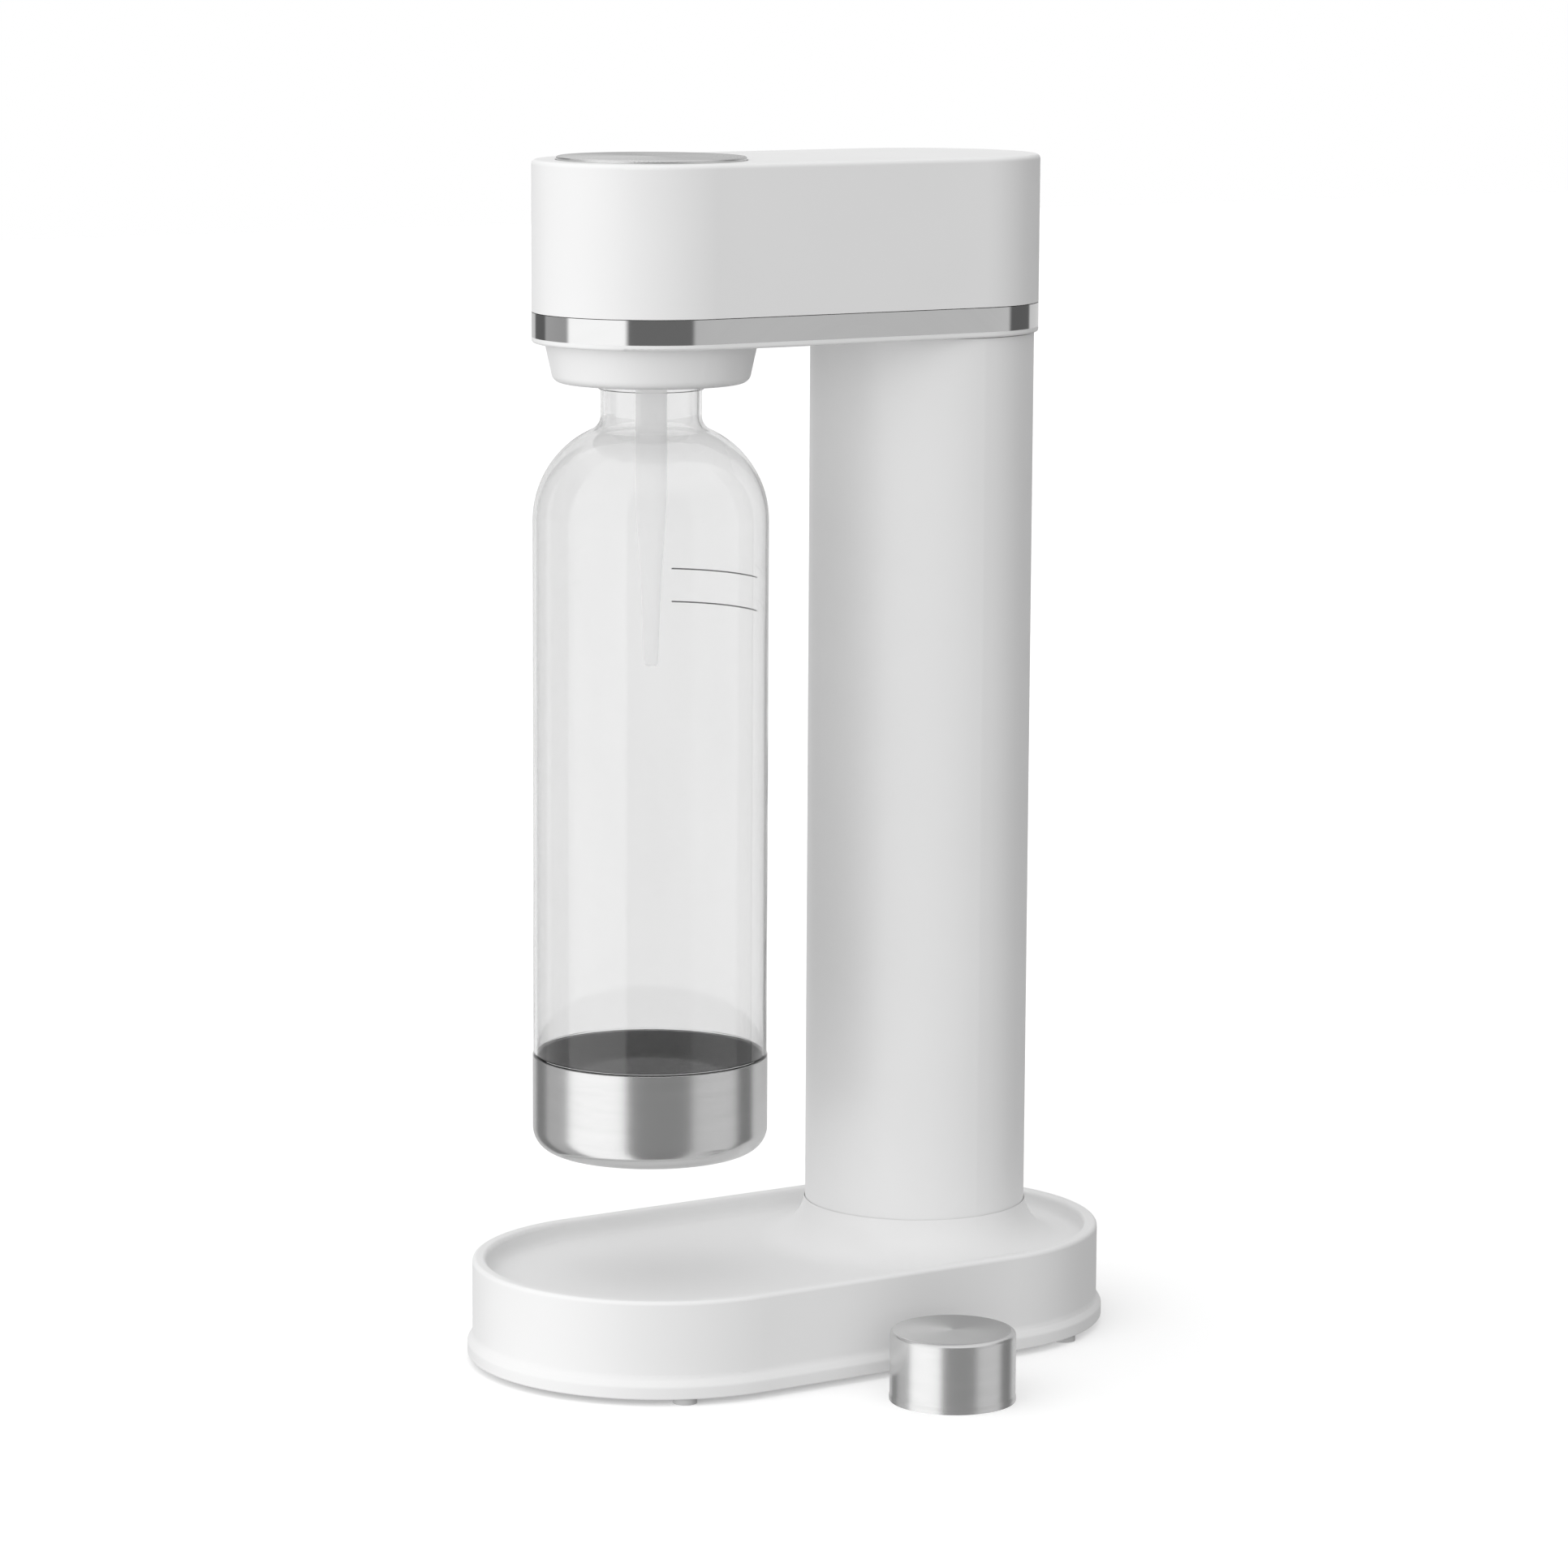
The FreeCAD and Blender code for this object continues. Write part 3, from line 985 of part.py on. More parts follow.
def nozzle_tube():
    """The ball-ended tube that reaches down into the water and narrows to a jet."""
    tip_z = NOZZLE_PIVOT_Z - TUBE_LENGTH
    tube = turned([
        (0, tip_z),
        (TUBE_TIP_RADIUS, tip_z, TUBE_TIP_ROUNDING),
        (TUBE_MID_RADIUS, NOZZLE_PIVOT_Z - TUBE_MID_DROP, TUBE_MID_BLEND),
        (TUBE_RADIUS, NOZZLE_PIVOT_Z - TUBE_TAPER_DROP, TUBE_TAPER_BLEND),
        (TUBE_RADIUS, NOZZLE_PIVOT_Z - TUBE_SHOULDER_DROP, TUBE_TIP_ROUNDING),
        (TUBE_NECK_RADIUS, NOZZLE_PIVOT_Z - TUBE_SHOULDER_DROP),
        (TUBE_NECK_RADIUS, NOZZLE_PIVOT_Z),
        (0, NOZZLE_PIVOT_Z),
    ], BOTTLE_Y)
    tube = tube.fuse(Part.makeSphere(BALL_RADIUS, V(0, BOTTLE_Y, NOZZLE_PIVOT_Z)))
    return tube.cut(rod(TUBE_BORE_RADIUS, tip_z, NOZZLE_PIVOT_Z + BALL_RADIUS, 0, BOTTLE_Y))


def bottle_seal():
    """The rubber ring that the bottle's mouth seals on."""
    return pipe(SEAL_RADIUS, SEAL_BORE_RADIUS, BOTTLE_MOUTH_Z, PLATE_TOP_Z, 0, BOTTLE_Y)


# ---- Bottle: one clear moulding, written as body, shoulder and neck ----
def shoulder_corners(inset, neck_radius):
    """The two rounded corners of the shoulder: body to slope, and slope to neck."""
    slope = math.radians(SHOULDER_SLOPE)
    body_radius = BOTTLE_RADIUS - inset
    bend_radius = SHOULDER_RADIUS - inset
    touch_x = body_radius - bend_radius + bend_radius * math.sin(slope)
    touch_z = SHOULDER_START_Z + bend_radius * math.cos(slope)
    body_z = touch_z - (body_radius - touch_x) * math.tan(slope)
    neck_z = touch_z + (touch_x - neck_radius) * math.tan(slope)
    fillet = NECK_FILLET + BOTTLE_NECK_RADIUS - neck_radius
    return [(body_radius, body_z, bend_radius), (neck_radius, neck_z, fillet)]


def neck_foot_z():
    """The level above which the neck is straight, inside and outside."""
    corner = shoulder_corners(BOTTLE_WALL, BOTTLE_NECK_BORE)[1]
    half_bend = math.radians(90 - SHOULDER_SLOPE) / 2
    return corner[1] + corner[2] * math.tan(half_bend) + NECK_FOOT_MARGIN


def bottle_space(inset, neck_radius):
    """The bottle's outside, or its inside when inset by the wall."""
    lower = BOTTLE_FOOT_RADIUS - inset
    body = BOTTLE_RADIUS - inset
    floor_z = BOTTLE_FLOOR_Z + inset
    step_z = CUP_TOP_Z + FACE_GAP
    return turned([
        (0, floor_z + PUNT_HEIGHT),
        (PUNT_TOP_RADIUS, floor_z + PUNT_HEIGHT, PUNT_ROUNDING + inset),
        (PUNT_RADIUS, floor_z, PUNT_ROUNDING - inset),
        (lower, floor_z, BOTTLE_FLOOR_ROUNDING - inset),
        (lower, step_z),
        (body, step_z + body - lower),
    ] + shoulder_corners(inset, neck_radius) + [
        (neck_radius, BOTTLE_MOUTH_Z),
        (0, BOTTLE_MOUTH_Z),
    ], BOTTLE_Y)


def bottle_wall(z0, z1):
    """The bottle's wall between two levels."""
    wall = bottle_space(0, BOTTLE_NECK_RADIUS).cut(bottle_space(BOTTLE_WALL, BOTTLE_NECK_BORE))
    return wall.common(rod(CUP_RADIUS, z0, z1, 0, BOTTLE_Y))


def bottle_body():
    """The straight part of the bottle and its floor."""
    return bottle_wall(CUP_BOTTOM_Z, SHOULDER_START_Z)


def bottle_shoulder():
    """The domed shoulder of the bottle."""
    return bottle_wall(SHOULDER_START_Z, neck_foot_z())


def bottle_neck():
    """The neck of the bottle, open at the mouth, with a bead and an interrupted thread."""
    neck = bottle_wall(neck_foot_z(), BOTTLE_MOUTH_Z)
    bead_top = NECK_BEAD_Z + NECK_BEAD_HEIGHT
    bead = pipe(BOTTLE_NECK_RADIUS + NECK_BEAD_DEPTH, BOTTLE_NECK_BORE, NECK_BEAD_Z, bead_top, 0, BOTTLE_Y)
    ridges = thread_sectors(BOTTLE_NECK_RADIUS, THREAD_RADIUS, THREAD_Z, THREAD_SECTOR_ANGLE, 0, BOTTLE_Y)
    return neck.fuse([bead] + ridges)


def bottle_base_cup():
    """The steel cup bonded on the bottle's foot."""
    inner = CUP_RADIUS - CUP_WALL
    floor_top = CUP_BOTTOM_Z + CUP_WALL
    return turned([
        (0, CUP_BOTTOM_Z),
        (CUP_RADIUS, CUP_BOTTOM_Z, CUP_ROUNDING),
        (CUP_RADIUS, CUP_TOP_Z),
        (inner, CUP_TOP_Z),
        (inner, floor_top, CUP_ROUNDING - CUP_WALL),
        (0, floor_top),
    ], BOTTLE_Y)


# ---- Column ----
def column_tube():
    """The white upright tube between the base and the head."""
    return pipe(COLUMN_RADIUS, COLUMN_INNER, COLUMN_FOOT_Z, HEAD_UNDERSIDE_Z - SEAM_GAP, 0, COLUMN_Y)


def cylinder_sleeve():
    """The inner tube that the gas cylinder slides up in, standing on the base's ledge."""
    return pipe(SLEEVE_OUTER_RADIUS, SLEEVE_BORE_RADIUS, COLUMN_FOOT_Z, SLEEVE_TUBE_TOP_Z, 0, COLUMN_Y)


def tie_rods():
    """The rods that clamp the base, the column and the head together."""
    bottom = LEDGE_Z - NUT_HEIGHT - TIE_ROD_END
    top = BLOCK_FLANGE_TOP_Z + NUT_HEIGHT + TIE_ROD_END
    return Part.makeCompound([rod(TIE_ROD_RADIUS, bottom, top, x, y) for x, y in tie_rod_places()])


def tie_nuts():
    """A nut at each end of each rod."""
    nuts = []
    for x, y in tie_rod_places():
        for z in (LEDGE_Z - NUT_HEIGHT, BLOCK_FLANGE_TOP_Z):
            nut = prism(6, NUT_CORNER_RADIUS, NUT_HEIGHT).cut(rod(TIE_ROD_RADIUS, 0, NUT_HEIGHT))
            nut.translate(V(x, y, z))
            nuts.append(nut)
    return Part.makeCompound(nuts)


# ---- Gas cylinder ----
def co2_cylinder():
    """The refillable gas cylinder."""
    shoulder_z = CYLINDER_NECK_Z - CYLINDER_RADIUS + CYLINDER_NECK_RADIUS
    outer = turned([
        (0, CYLINDER_BOTTOM_Z),
        (CYLINDER_RADIUS, CYLINDER_BOTTOM_Z, CYLINDER_FOOT_ROUNDING),
        (CYLINDER_RADIUS, shoulder_z, CYLINDER_SHOULDER_ROUNDING),
        (CYLINDER_NECK_RADIUS, CYLINDER_NECK_Z, CYLINDER_NECK_ROUNDING),
        (CYLINDER_NECK_RADIUS, CYLINDER_NECK_TOP_Z),
        (0, CYLINDER_NECK_TOP_Z),
    ], COLUMN_Y)
    inner_radius = CYLINDER_RADIUS - CYLINDER_WALL
    floor_z = CYLINDER_BOTTOM_Z + CYLINDER_WALL
    inner = turned([
        (0, floor_z),
        (inner_radius, floor_z, CYLINDER_FOOT_ROUNDING - CYLINDER_WALL),
        (inner_radius, shoulder_z - CYLINDER_WALL / 2, CYLINDER_SHOULDER_ROUNDING - CYLINDER_WALL),
        (VALVE_PLUG_RADIUS, CYLINDER_NECK_Z - CYLINDER_WALL),
        (VALVE_PLUG_RADIUS, CYLINDER_NECK_TOP_Z),
        (0, CYLINDER_NECK_TOP_Z),
    ], COLUMN_Y)
    return outer.cut(inner)


def cylinder_valve():
    """The brass valve that closes the gas cylinder and screws up into the valve block."""
    seat_top = CYLINDER_NECK_TOP_Z + VALVE_SEAT_HEIGHT
    plug_z = CYLINDER_NECK_TOP_Z - VALVE_PLUG_LENGTH
    valve = rod(VALVE_PLUG_RADIUS, plug_z, CYLINDER_NECK_TOP_Z, 0, COLUMN_Y)
    valve = valve.fuse(rod(VALVE_SEAT_RADIUS, CYLINDER_NECK_TOP_Z, seat_top, 0, COLUMN_Y))
    valve = valve.fuse(rod(VALVE_THREAD_RADIUS, seat_top, CYLINDER_TOP_Z, 0, COLUMN_Y))
    for turn in range(VALVE_GROOVE_COUNT):
        z = seat_top + VALVE_GROOVE_WIDTH + turn * VALVE_THREAD_PITCH
        root = VALVE_THREAD_RADIUS - VALVE_GROOVE_DEPTH
        valve = valve.cut(pipe(VALVE_THREAD_RADIUS, root, z, z + VALVE_GROOVE_WIDTH, 0, COLUMN_Y))
    chamber_z = CYLINDER_TOP_Z - VALVE_CHAMBER_DEPTH
    valve = valve.cut(rod(VALVE_CHAMBER_RADIUS, chamber_z, CYLINDER_TOP_Z, 0, COLUMN_Y))
    return valve.cut(rod(VALVE_ORIFICE_RADIUS, plug_z, CYLINDER_TOP_Z, 0, COLUMN_Y)).removeSplitter()


def cylinder_valve_pin():
    """The pin in the cylinder's valve that opens it when it is pressed."""
    foot_z = CYLINDER_TOP_Z - VALVE_CHAMBER_DEPTH + VALVE_PIN_LIFT
    pin = rod(VALVE_PIN_RADIUS, foot_z, VALVE_PIN_TOP_Z, 0, COLUMN_Y)
    foot = rod(VALVE_PIN_FOOT_RADIUS, foot_z, foot_z + VALVE_PIN_FOOT_HEIGHT, 0, COLUMN_Y)
    return pin.fuse(foot).removeSplitter()


# ---- Base: one white moulding, written as shell and column socket ----
def base_shell():
    """The rimmed tray and its skirt, with a round hole where the column's socket carries on."""
    shell = racetrack([
        (0, TRAY_UNDERSIDE_Z),
        (BASE_INNER, TRAY_UNDERSIDE_Z),
        (BASE_INNER, SKIRT_BOTTOM_Z),
        (SKIRT_RADIUS, SKIRT_BOTTOM_Z, SKIRT_EDGE_ROUNDING),
        (SKIRT_RADIUS, SKIRT_TOP_Z, SKIRT_SHOULDER_BLEND),
        (BASE_RADIUS, SKIRT_TOP_Z + SKIRT_RISE, SKIRT_BLEND),
        (BASE_RADIUS, BASE_HEIGHT, RIM_ROUNDING),
        (TRAY_RADIUS, BASE_HEIGHT, RIM_ROUNDING),
        (TRAY_RADIUS, TRAY_Z, TRAY_ROUNDING),
        (0, TRAY_Z),
    ], -COLUMN_Y, COLUMN_Y)
    shell = shell.cut(rod(FLARE_FOOT_RADIUS, TRAY_UNDERSIDE_Z, TRAY_Z, 0, COLUMN_Y))
    return with_screw_bosses(shell, front_screw_places() + side_screw_places())


def column_socket():
    """The hollow-sided cone that rises from the tray to the column, with the socket and its ledge."""
    run = FLARE_FOOT_RADIUS - SOCKET_RADIUS
    rise = FLARE_TOP_Z - TRAY_Z
    bend = (run * run + rise * rise) / (2 * rise)
    sweep = math.asin(run / bend)
    foot = V(FLARE_FOOT_RADIUS, 0, TRAY_Z)
    middle = V(FLARE_FOOT_RADIUS - bend * math.sin(sweep / 2), 0, TRAY_Z + bend * (1 - math.cos(sweep / 2)))
    socket_outer = SOCKET_RADIUS + SOCKET_WALL
    corners = [
        V(SOCKET_RADIUS, 0, FLARE_TOP_Z),
        V(SOCKET_RADIUS, 0, COLUMN_FOOT_Z),
        V(LEDGE_BORE_RADIUS, 0, COLUMN_FOOT_Z),
        V(LEDGE_BORE_RADIUS, 0, LEDGE_Z),
        V(socket_outer, 0, LEDGE_Z),
        V(socket_outer, 0, TRAY_UNDERSIDE_Z),
        V(FLARE_FOOT_RADIUS, 0, TRAY_UNDERSIDE_Z),
        foot,
    ]
    edges = [Part.Arc(foot, middle, corners[0]).toShape()]
    edges += [Part.LineSegment(a, b).toShape() for a, b in zip(corners, corners[1:])]
    socket = Part.Face(Part.Wire(edges)).revolve(V(0, 0, 0), Z, 360)
    socket.translate(V(0, COLUMN_Y, 0))
    for x, y in tie_rod_places():
        socket = socket.cut(rod(TIE_ROD_RADIUS, LEDGE_Z, COLUMN_FOOT_Z, x, y))
    return with_screw_bosses(socket, back_screw_places())


def base_plate():
    """The plate that closes the base, with the hole that the gas cylinder goes in by."""
    edge = BASE_INNER - FACE_GAP
    plate = racetrack([
        (0, SKIRT_BOTTOM_Z),
        (edge, SKIRT_BOTTOM_Z),
        (edge, BASE_PLATE_TOP_Z),
        (0, BASE_PLATE_TOP_Z),
    ], -COLUMN_Y, COLUMN_Y)
    plate = plate.cut(rod(CYLINDER_HOLE_RADIUS, SKIRT_BOTTOM_Z, BASE_PLATE_TOP_Z, 0, COLUMN_Y))
    for x, y in base_screw_places():
        plate = plate.fuse(rod(PLATE_PAD_RADIUS, BASE_PLATE_TOP_Z, PLATE_PAD_TOP_Z, x, y))
        plate = plate.cut(rod(COUNTERBORE_RADIUS, SKIRT_BOTTOM_Z, BASE_SEAT_Z, x, y))
        plate = plate.cut(rod(SCREW_HOLE_RADIUS, BASE_SEAT_Z, PLATE_PAD_TOP_Z, x, y))
    return plate


def base_screws():
    """The screws that hold the bottom plate."""
    return screws(base_screw_places(), BASE_SEAT_Z, PLATE_PAD_TOP_Z - BASE_SEAT_Z + SCREW_BITE)


def foot_ring():
    """The rubber ring that stands on the table."""
    return racetrack([
        (RING_PAD_INNER, 0),
        (RING_PAD_OUTER, 0),
        (RING_PAD_OUTER, SKIRT_BOTTOM_Z),
        (RING_PAD_INNER, SKIRT_BOTTOM_Z),
    ], -COLUMN_Y, COLUMN_Y)


def feet():
    """Four small pads under the edge of the base."""
    back = list(around(FOOT_CIRCLE, (FOOT_ANGLE, 180 - FOOT_ANGLE), COLUMN_Y))
    places = back + [(x, -y) for x, y in back]
    return Part.makeCompound([rod(FOOT_RADIUS, 0, SKIRT_BOTTOM_Z, x, y) for x, y in places])


# ---- Loose bottle cap ----
def cap_shell():
    """The steel outside of the bottle's cap, which stands on the table mouth down."""
    inner = CAP_RADIUS - CAP_SHEET
    return turned([
        (inner, 0),
        (CAP_RADIUS + CAP_ROLL, 0),
        (CAP_RADIUS + CAP_ROLL, CAP_ROLL_HEIGHT / 2, CAP_ROLL),
        (CAP_RADIUS, CAP_ROLL_HEIGHT, CAP_ROLL_HEIGHT / 2),
        (CAP_RADIUS, CAP_HEIGHT, CAP_ROUNDING),
        (0, CAP_HEIGHT),
        (0, CAP_HEIGHT - CAP_SHEET),
        (inner, CAP_HEIGHT - CAP_SHEET),
    ], CAP_Y, CAP_X)


def cap_liner():
    """The threaded plastic inside of the cap."""
    outer = CAP_RADIUS - CAP_SHEET
    top = CAP_HEIGHT - CAP_SHEET
    liner = turned([
        (LINER_BORE_RADIUS, LINER_INSET),
        (outer, LINER_INSET),
        (outer, top),
        (0, top),
        (0, top - LINER_TOP),
        (LINER_BORE_RADIUS, top - LINER_TOP),
    ], CAP_Y, CAP_X)
    crest = BOTTLE_NECK_RADIUS + FACE_GAP
    first_z = LINER_INSET + THREAD_START
    return liner.fuse(thread_sectors(LINER_BORE_RADIUS, crest, first_z, THREAD_SECTOR_ANGLE, 0, CAP_Y, CAP_X))


def cap_seal():
    """The rubber disc that seals the bottle's mouth inside the cap."""
    top = CAP_HEIGHT - CAP_SHEET - LINER_TOP
    return rod(LINER_BORE_RADIUS - FACE_GAP, top - CAP_SEAL_THICKNESS, top, CAP_X, CAP_Y)


NODES = (
    head_shell, trim_band, head_base, head_screws,
    push_button, button_carrier, button_guide, guide_screws, button_spring,
    actuating_lever, lever_pin,
    valve_block, valve_plunger, plunger_seal, cylinder_gasket, relief_valve,
    hose_fitting_rear, hose_fitting_front, gas_hose,
    nozzle_collar, bottle_lock_ring, collar_screws, nozzle_head, nozzle_retainer, nozzle_tube, bottle_seal,
    bottle_body, bottle_shoulder, bottle_neck, bottle_base_cup,
    column_tube, cylinder_sleeve, tie_rods, tie_nuts,
    co2_cylinder, cylinder_valve, cylinder_valve_pin,
    base_shell, column_socket, base_plate, base_screws, foot_ring, feet,
    cap_shell, cap_liner, cap_seal,
)

os.makedirs("parts", exist_ok=True)
for make_node in NODES:
    export(make_node.__name__, make_node())
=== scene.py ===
import math
import bpy
from mathutils import Matrix, Vector


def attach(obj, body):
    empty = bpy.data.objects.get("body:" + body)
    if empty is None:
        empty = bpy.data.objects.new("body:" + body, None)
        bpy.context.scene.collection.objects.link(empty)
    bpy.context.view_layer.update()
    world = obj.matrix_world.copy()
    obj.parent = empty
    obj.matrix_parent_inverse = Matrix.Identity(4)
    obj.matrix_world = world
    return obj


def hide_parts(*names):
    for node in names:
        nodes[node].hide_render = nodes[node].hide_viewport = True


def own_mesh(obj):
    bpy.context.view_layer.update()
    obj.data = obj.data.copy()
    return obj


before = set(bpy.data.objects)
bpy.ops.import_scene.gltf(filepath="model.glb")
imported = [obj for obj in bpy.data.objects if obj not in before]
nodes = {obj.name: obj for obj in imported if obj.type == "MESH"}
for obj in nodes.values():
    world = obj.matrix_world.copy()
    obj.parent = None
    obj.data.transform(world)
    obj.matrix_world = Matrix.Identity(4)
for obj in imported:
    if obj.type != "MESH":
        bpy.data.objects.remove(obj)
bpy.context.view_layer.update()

FULL_TURN = 2 * math.pi

# Noise scales, in cells per metre.
DRIFT_SCALE = 14.0
SHEEN_SCALE = 60.0
GRAIN_SCALE = 1800.0
RUBBER_GRAIN_SCALE = 900.0
STREAK_SCALE = 2600.0
POLISHED_STREAK_SCALE = 1500.0
STEEL_CLOUD_SCALE = 45.0
METAL_GRAIN_SCALE = 900.0
METAL_CLOUD_SCALE = 120.0
WAVE_SCALE = 55.0
SCUFF_SCALE = 700.0
FLOOR_DRIFT_SCALE = 3.0
# How little the brushed lines change along their length, and the second beat in degrees of the painted
# reflection's turned sector pattern.
STREAK_STRETCH = 0.004
PAINTED_RIPPLE_LEAD = 35

# Where the turned pieces have their axes, in metres.
BOTTLE_Y = -0.059
BOTTLE_AXIS = (0, BOTTLE_Y)
CAP_AXIS = (0.1027, 0.0013)


# ---- Node helpers ----
class Graph:
    """Builds a shader tree with short calls."""

    def __init__(self, tree):
        self.tree = tree
        tree.nodes.clear()

    def add(self, kind, settings=None, **inputs):
        node = self.tree.nodes.new("ShaderNode" + kind)
        for name, value in (settings or {}).items():
            setattr(node, name, value)
        for name, value in inputs.items():
            socket = self.find(node, name)
            if isinstance(value, bpy.types.NodeSocket):
                self.tree.links.new(value, socket)
            else:
                socket.default_value = value
        return node

    @staticmethod
    def find(node, name):
        if name[0] == "i" and name[1:].isdigit():
            return node.inputs[int(name[1:])]
        return node.inputs[name.replace("_", " ")]

    def math(self, operation, a, b=0.0):
        return self.add("Math", {"operation": operation}, i0=a, i1=b).outputs[0]

    def sum(self, a, b):
        return self.math("ADD", a, b)

    def product(self, a, b):
        return self.math("MULTIPLY", a, b)

    def spread(self, value, low, high):
        """A 0 to 1 value carried to low..high."""
        return self.add("MapRange", None, Value=value, To_Min=low, To_Max=high).outputs[0]

    def noise(self, vector, scale, detail=2.0, roughness=0.5):
        node = self.add("TexNoise", None, Vector=vector, Scale=scale, Detail=detail,
                        Roughness=roughness)
        return node.outputs["Fac"]

    def place(self):
        """The point on the object, in metres."""
        return self.add("TexCoord").outputs["Object"]

    def stretched(self, vector, x, y, z):
        return self.add("Mapping", None, Vector=vector, Scale=(x, y, z)).outputs[0]

    def mix(self, factor, a, b):
        node = self.add("Mix", {"data_type": "RGBA"}, i0=factor, i6=a, i7=b)
        return node.outputs[2]


def grey(value, alpha=1.0):
    return (value, value, value, alpha)


def material(name):
    made = bpy.data.materials.new(name)
    made.use_nodes = True
    return made, Graph(made.node_tree)


def finish_material(g, shader):
    out = g.add("OutputMaterial")
    g.tree.links.new(shader.outputs[0], out.inputs["Surface"])


def moulded(name, low, high, roughness, grain, depth, scale=GRAIN_SCALE, **extra):
    """Moulded or painted plastic: a slight colour drift, a fine grain and an uneven sheen."""
    made, g = material(name)
    place = g.place()
    drift = g.noise(place, DRIFT_SCALE, 3.0)
    fine = g.noise(place, scale, 2.0)
    soft = g.noise(place, SHEEN_SCALE, 2.0)
    colour = g.mix(drift, low, high)
    rough = g.spread(soft, roughness - grain, roughness + grain)
    bump = g.add("Bump", None, Strength=0.35, Distance=depth, Height=fine)
    shader = g.add("BsdfPrincipled", None, Base_Color=colour, Roughness=rough,
                   Normal=bump.outputs[0], **extra)
    finish_material(g, shader)
    return made


def painted_reflection_sectors(g, angle, normal, painted_sector_turn):
    """A turned face's painted reflection: one bright and one dark sector painted into its colour, and how
    far the face looks up, which keeps that painted reflection to upward faces.
    """
    sector = g.math("COSINE", g.sum(angle, math.radians(painted_sector_turn)))
    painted_ripple = g.math("COSINE", g.product(g.sum(angle, math.radians(painted_sector_turn + PAINTED_RIPPLE_LEAD)), 2.0))
    sheen = g.sum(g.product(sector, 0.28), g.product(painted_ripple, 0.22))
    upward = g.add("SeparateXYZ", None, Vector=normal).outputs[2]
    painted_top_mask = g.math("MAXIMUM", upward, 0.0)
    amount = g.sum(g.product(g.product(sheen, painted_top_mask), 0.6), 0.72)
    return g.add("CombineColor", None, Red=amount, Green=amount, Blue=amount).outputs[0], painted_top_mask


def steel(name, low, high, roughness, anisotropic=0.0, streak=STREAK_SCALE, centre=(0, 0),
          metallic=1.0, painted_sector_turn=0.0):
    """Brushed steel: fine lines run round the upright axis at centre; a turn in degrees, when given, places
    a painted reflection, a bright and a dark sector painted into the colour of faces that look up.
    """
    made, g = material(name)
    place = g.place()
    parts = g.add("SeparateXYZ", None, Vector=place)
    dx = g.math("SUBTRACT", parts.outputs[0], centre[0])
    dy = g.math("SUBTRACT", parts.outputs[1], centre[1])
    radius = g.math("SQRT", g.sum(g.product(dx, dx), g.product(dy, dy)))
    angle = g.math("ARCTAN2", dy, dx)
    across = g.sum(parts.outputs[2], radius)
    lines = g.add("CombineXYZ", None, X=g.product(angle, STREAK_STRETCH), Y=across, Z=0.0).outputs[0]
    fine = g.noise(lines, streak, 3.0, 0.6)
    broad = g.noise(lines, streak / 9, 2.0)
    cloudy = g.noise(place, STEEL_CLOUD_SCALE, 2.0)
    colour = g.mix(g.product(g.sum(fine, broad), 0.5), low, high)
    uneven = g.product(g.sum(fine, cloudy), 0.5)
    rough = g.spread(uneven, roughness * 0.75, roughness * 1.25)
    bump = g.add("Bump", None, Strength=0.12, Distance=0.00002, Height=fine)
    # Painted reflection: on faces that look up, a bright and a dark turned sector lighten and darken the
    # colour in place of the spun steel's reflection.
    if painted_sector_turn:
        normal = g.add("NewGeometry").outputs["Normal"]
        painted_reflection, painted_top_mask = painted_reflection_sectors(g, angle, normal, painted_sector_turn)
        multiply = {"data_type": "RGBA", "blend_type": "MULTIPLY"}
        painted_reflection_tone = g.add("Mix", multiply, i0=1.0, i6=colour, i7=painted_reflection).outputs[2]
        colour = g.mix(painted_top_mask, colour, painted_reflection_tone)
    settings = dict(Base_Color=colour, Metallic=metallic, Roughness=rough, Normal=bump.outputs[0])
    if anisotropic:
        settings["Anisotropic"] = anisotropic
        settings["Tangent"] = g.add("Tangent", {"direction_type": "RADIAL", "axis": "Z"}).outputs[0]
    shader = g.add("BsdfPrincipled", None, **settings)
    finish_material(g, shader)
    return made


def metal(name, low, high, roughness):
    """Plain machined or plated metal with a cloudy finish."""
    made, g = material(name)
    place = g.place()
    fine = g.noise(place, METAL_GRAIN_SCALE, 3.0)
    cloudy = g.noise(place, METAL_CLOUD_SCALE, 3.0)
    colour = g.mix(cloudy, low, high)
    rough = g.spread(fine, roughness * 0.7, roughness * 1.3)
    bump = g.add("Bump", None, Strength=0.2, Distance=0.00003, Height=fine)
    shader = g.add("BsdfPrincipled", None, Base_Color=colour, Metallic=1.0, Roughness=rough,
                   Normal=bump.outputs[0])
    finish_material(g, shader)
    return made


def clear(name):
    """Clear plastic: faint upright waves and fine scuffs."""
    made, g = material(name)
    place = g.place()
    waves = g.noise(g.stretched(place, 1.0, 1.0, 0.25), WAVE_SCALE, 2.0)
    scuffs = g.noise(place, SCUFF_SCALE, 2.0)
    rough = g.spread(scuffs, 0.0, 0.03)
    bump = g.add("Bump", None, Strength=0.25, Distance=0.00035, Height=waves)
    colour = g.mix(waves, grey(0.835), grey(0.865))
    shader = g.add("BsdfPrincipled", None, Base_Color=colour, Roughness=rough, IOR=1.5,
                   Transmission_Weight=1.0, Normal=bump.outputs[0])
    finish_material(g, shader)
    return made


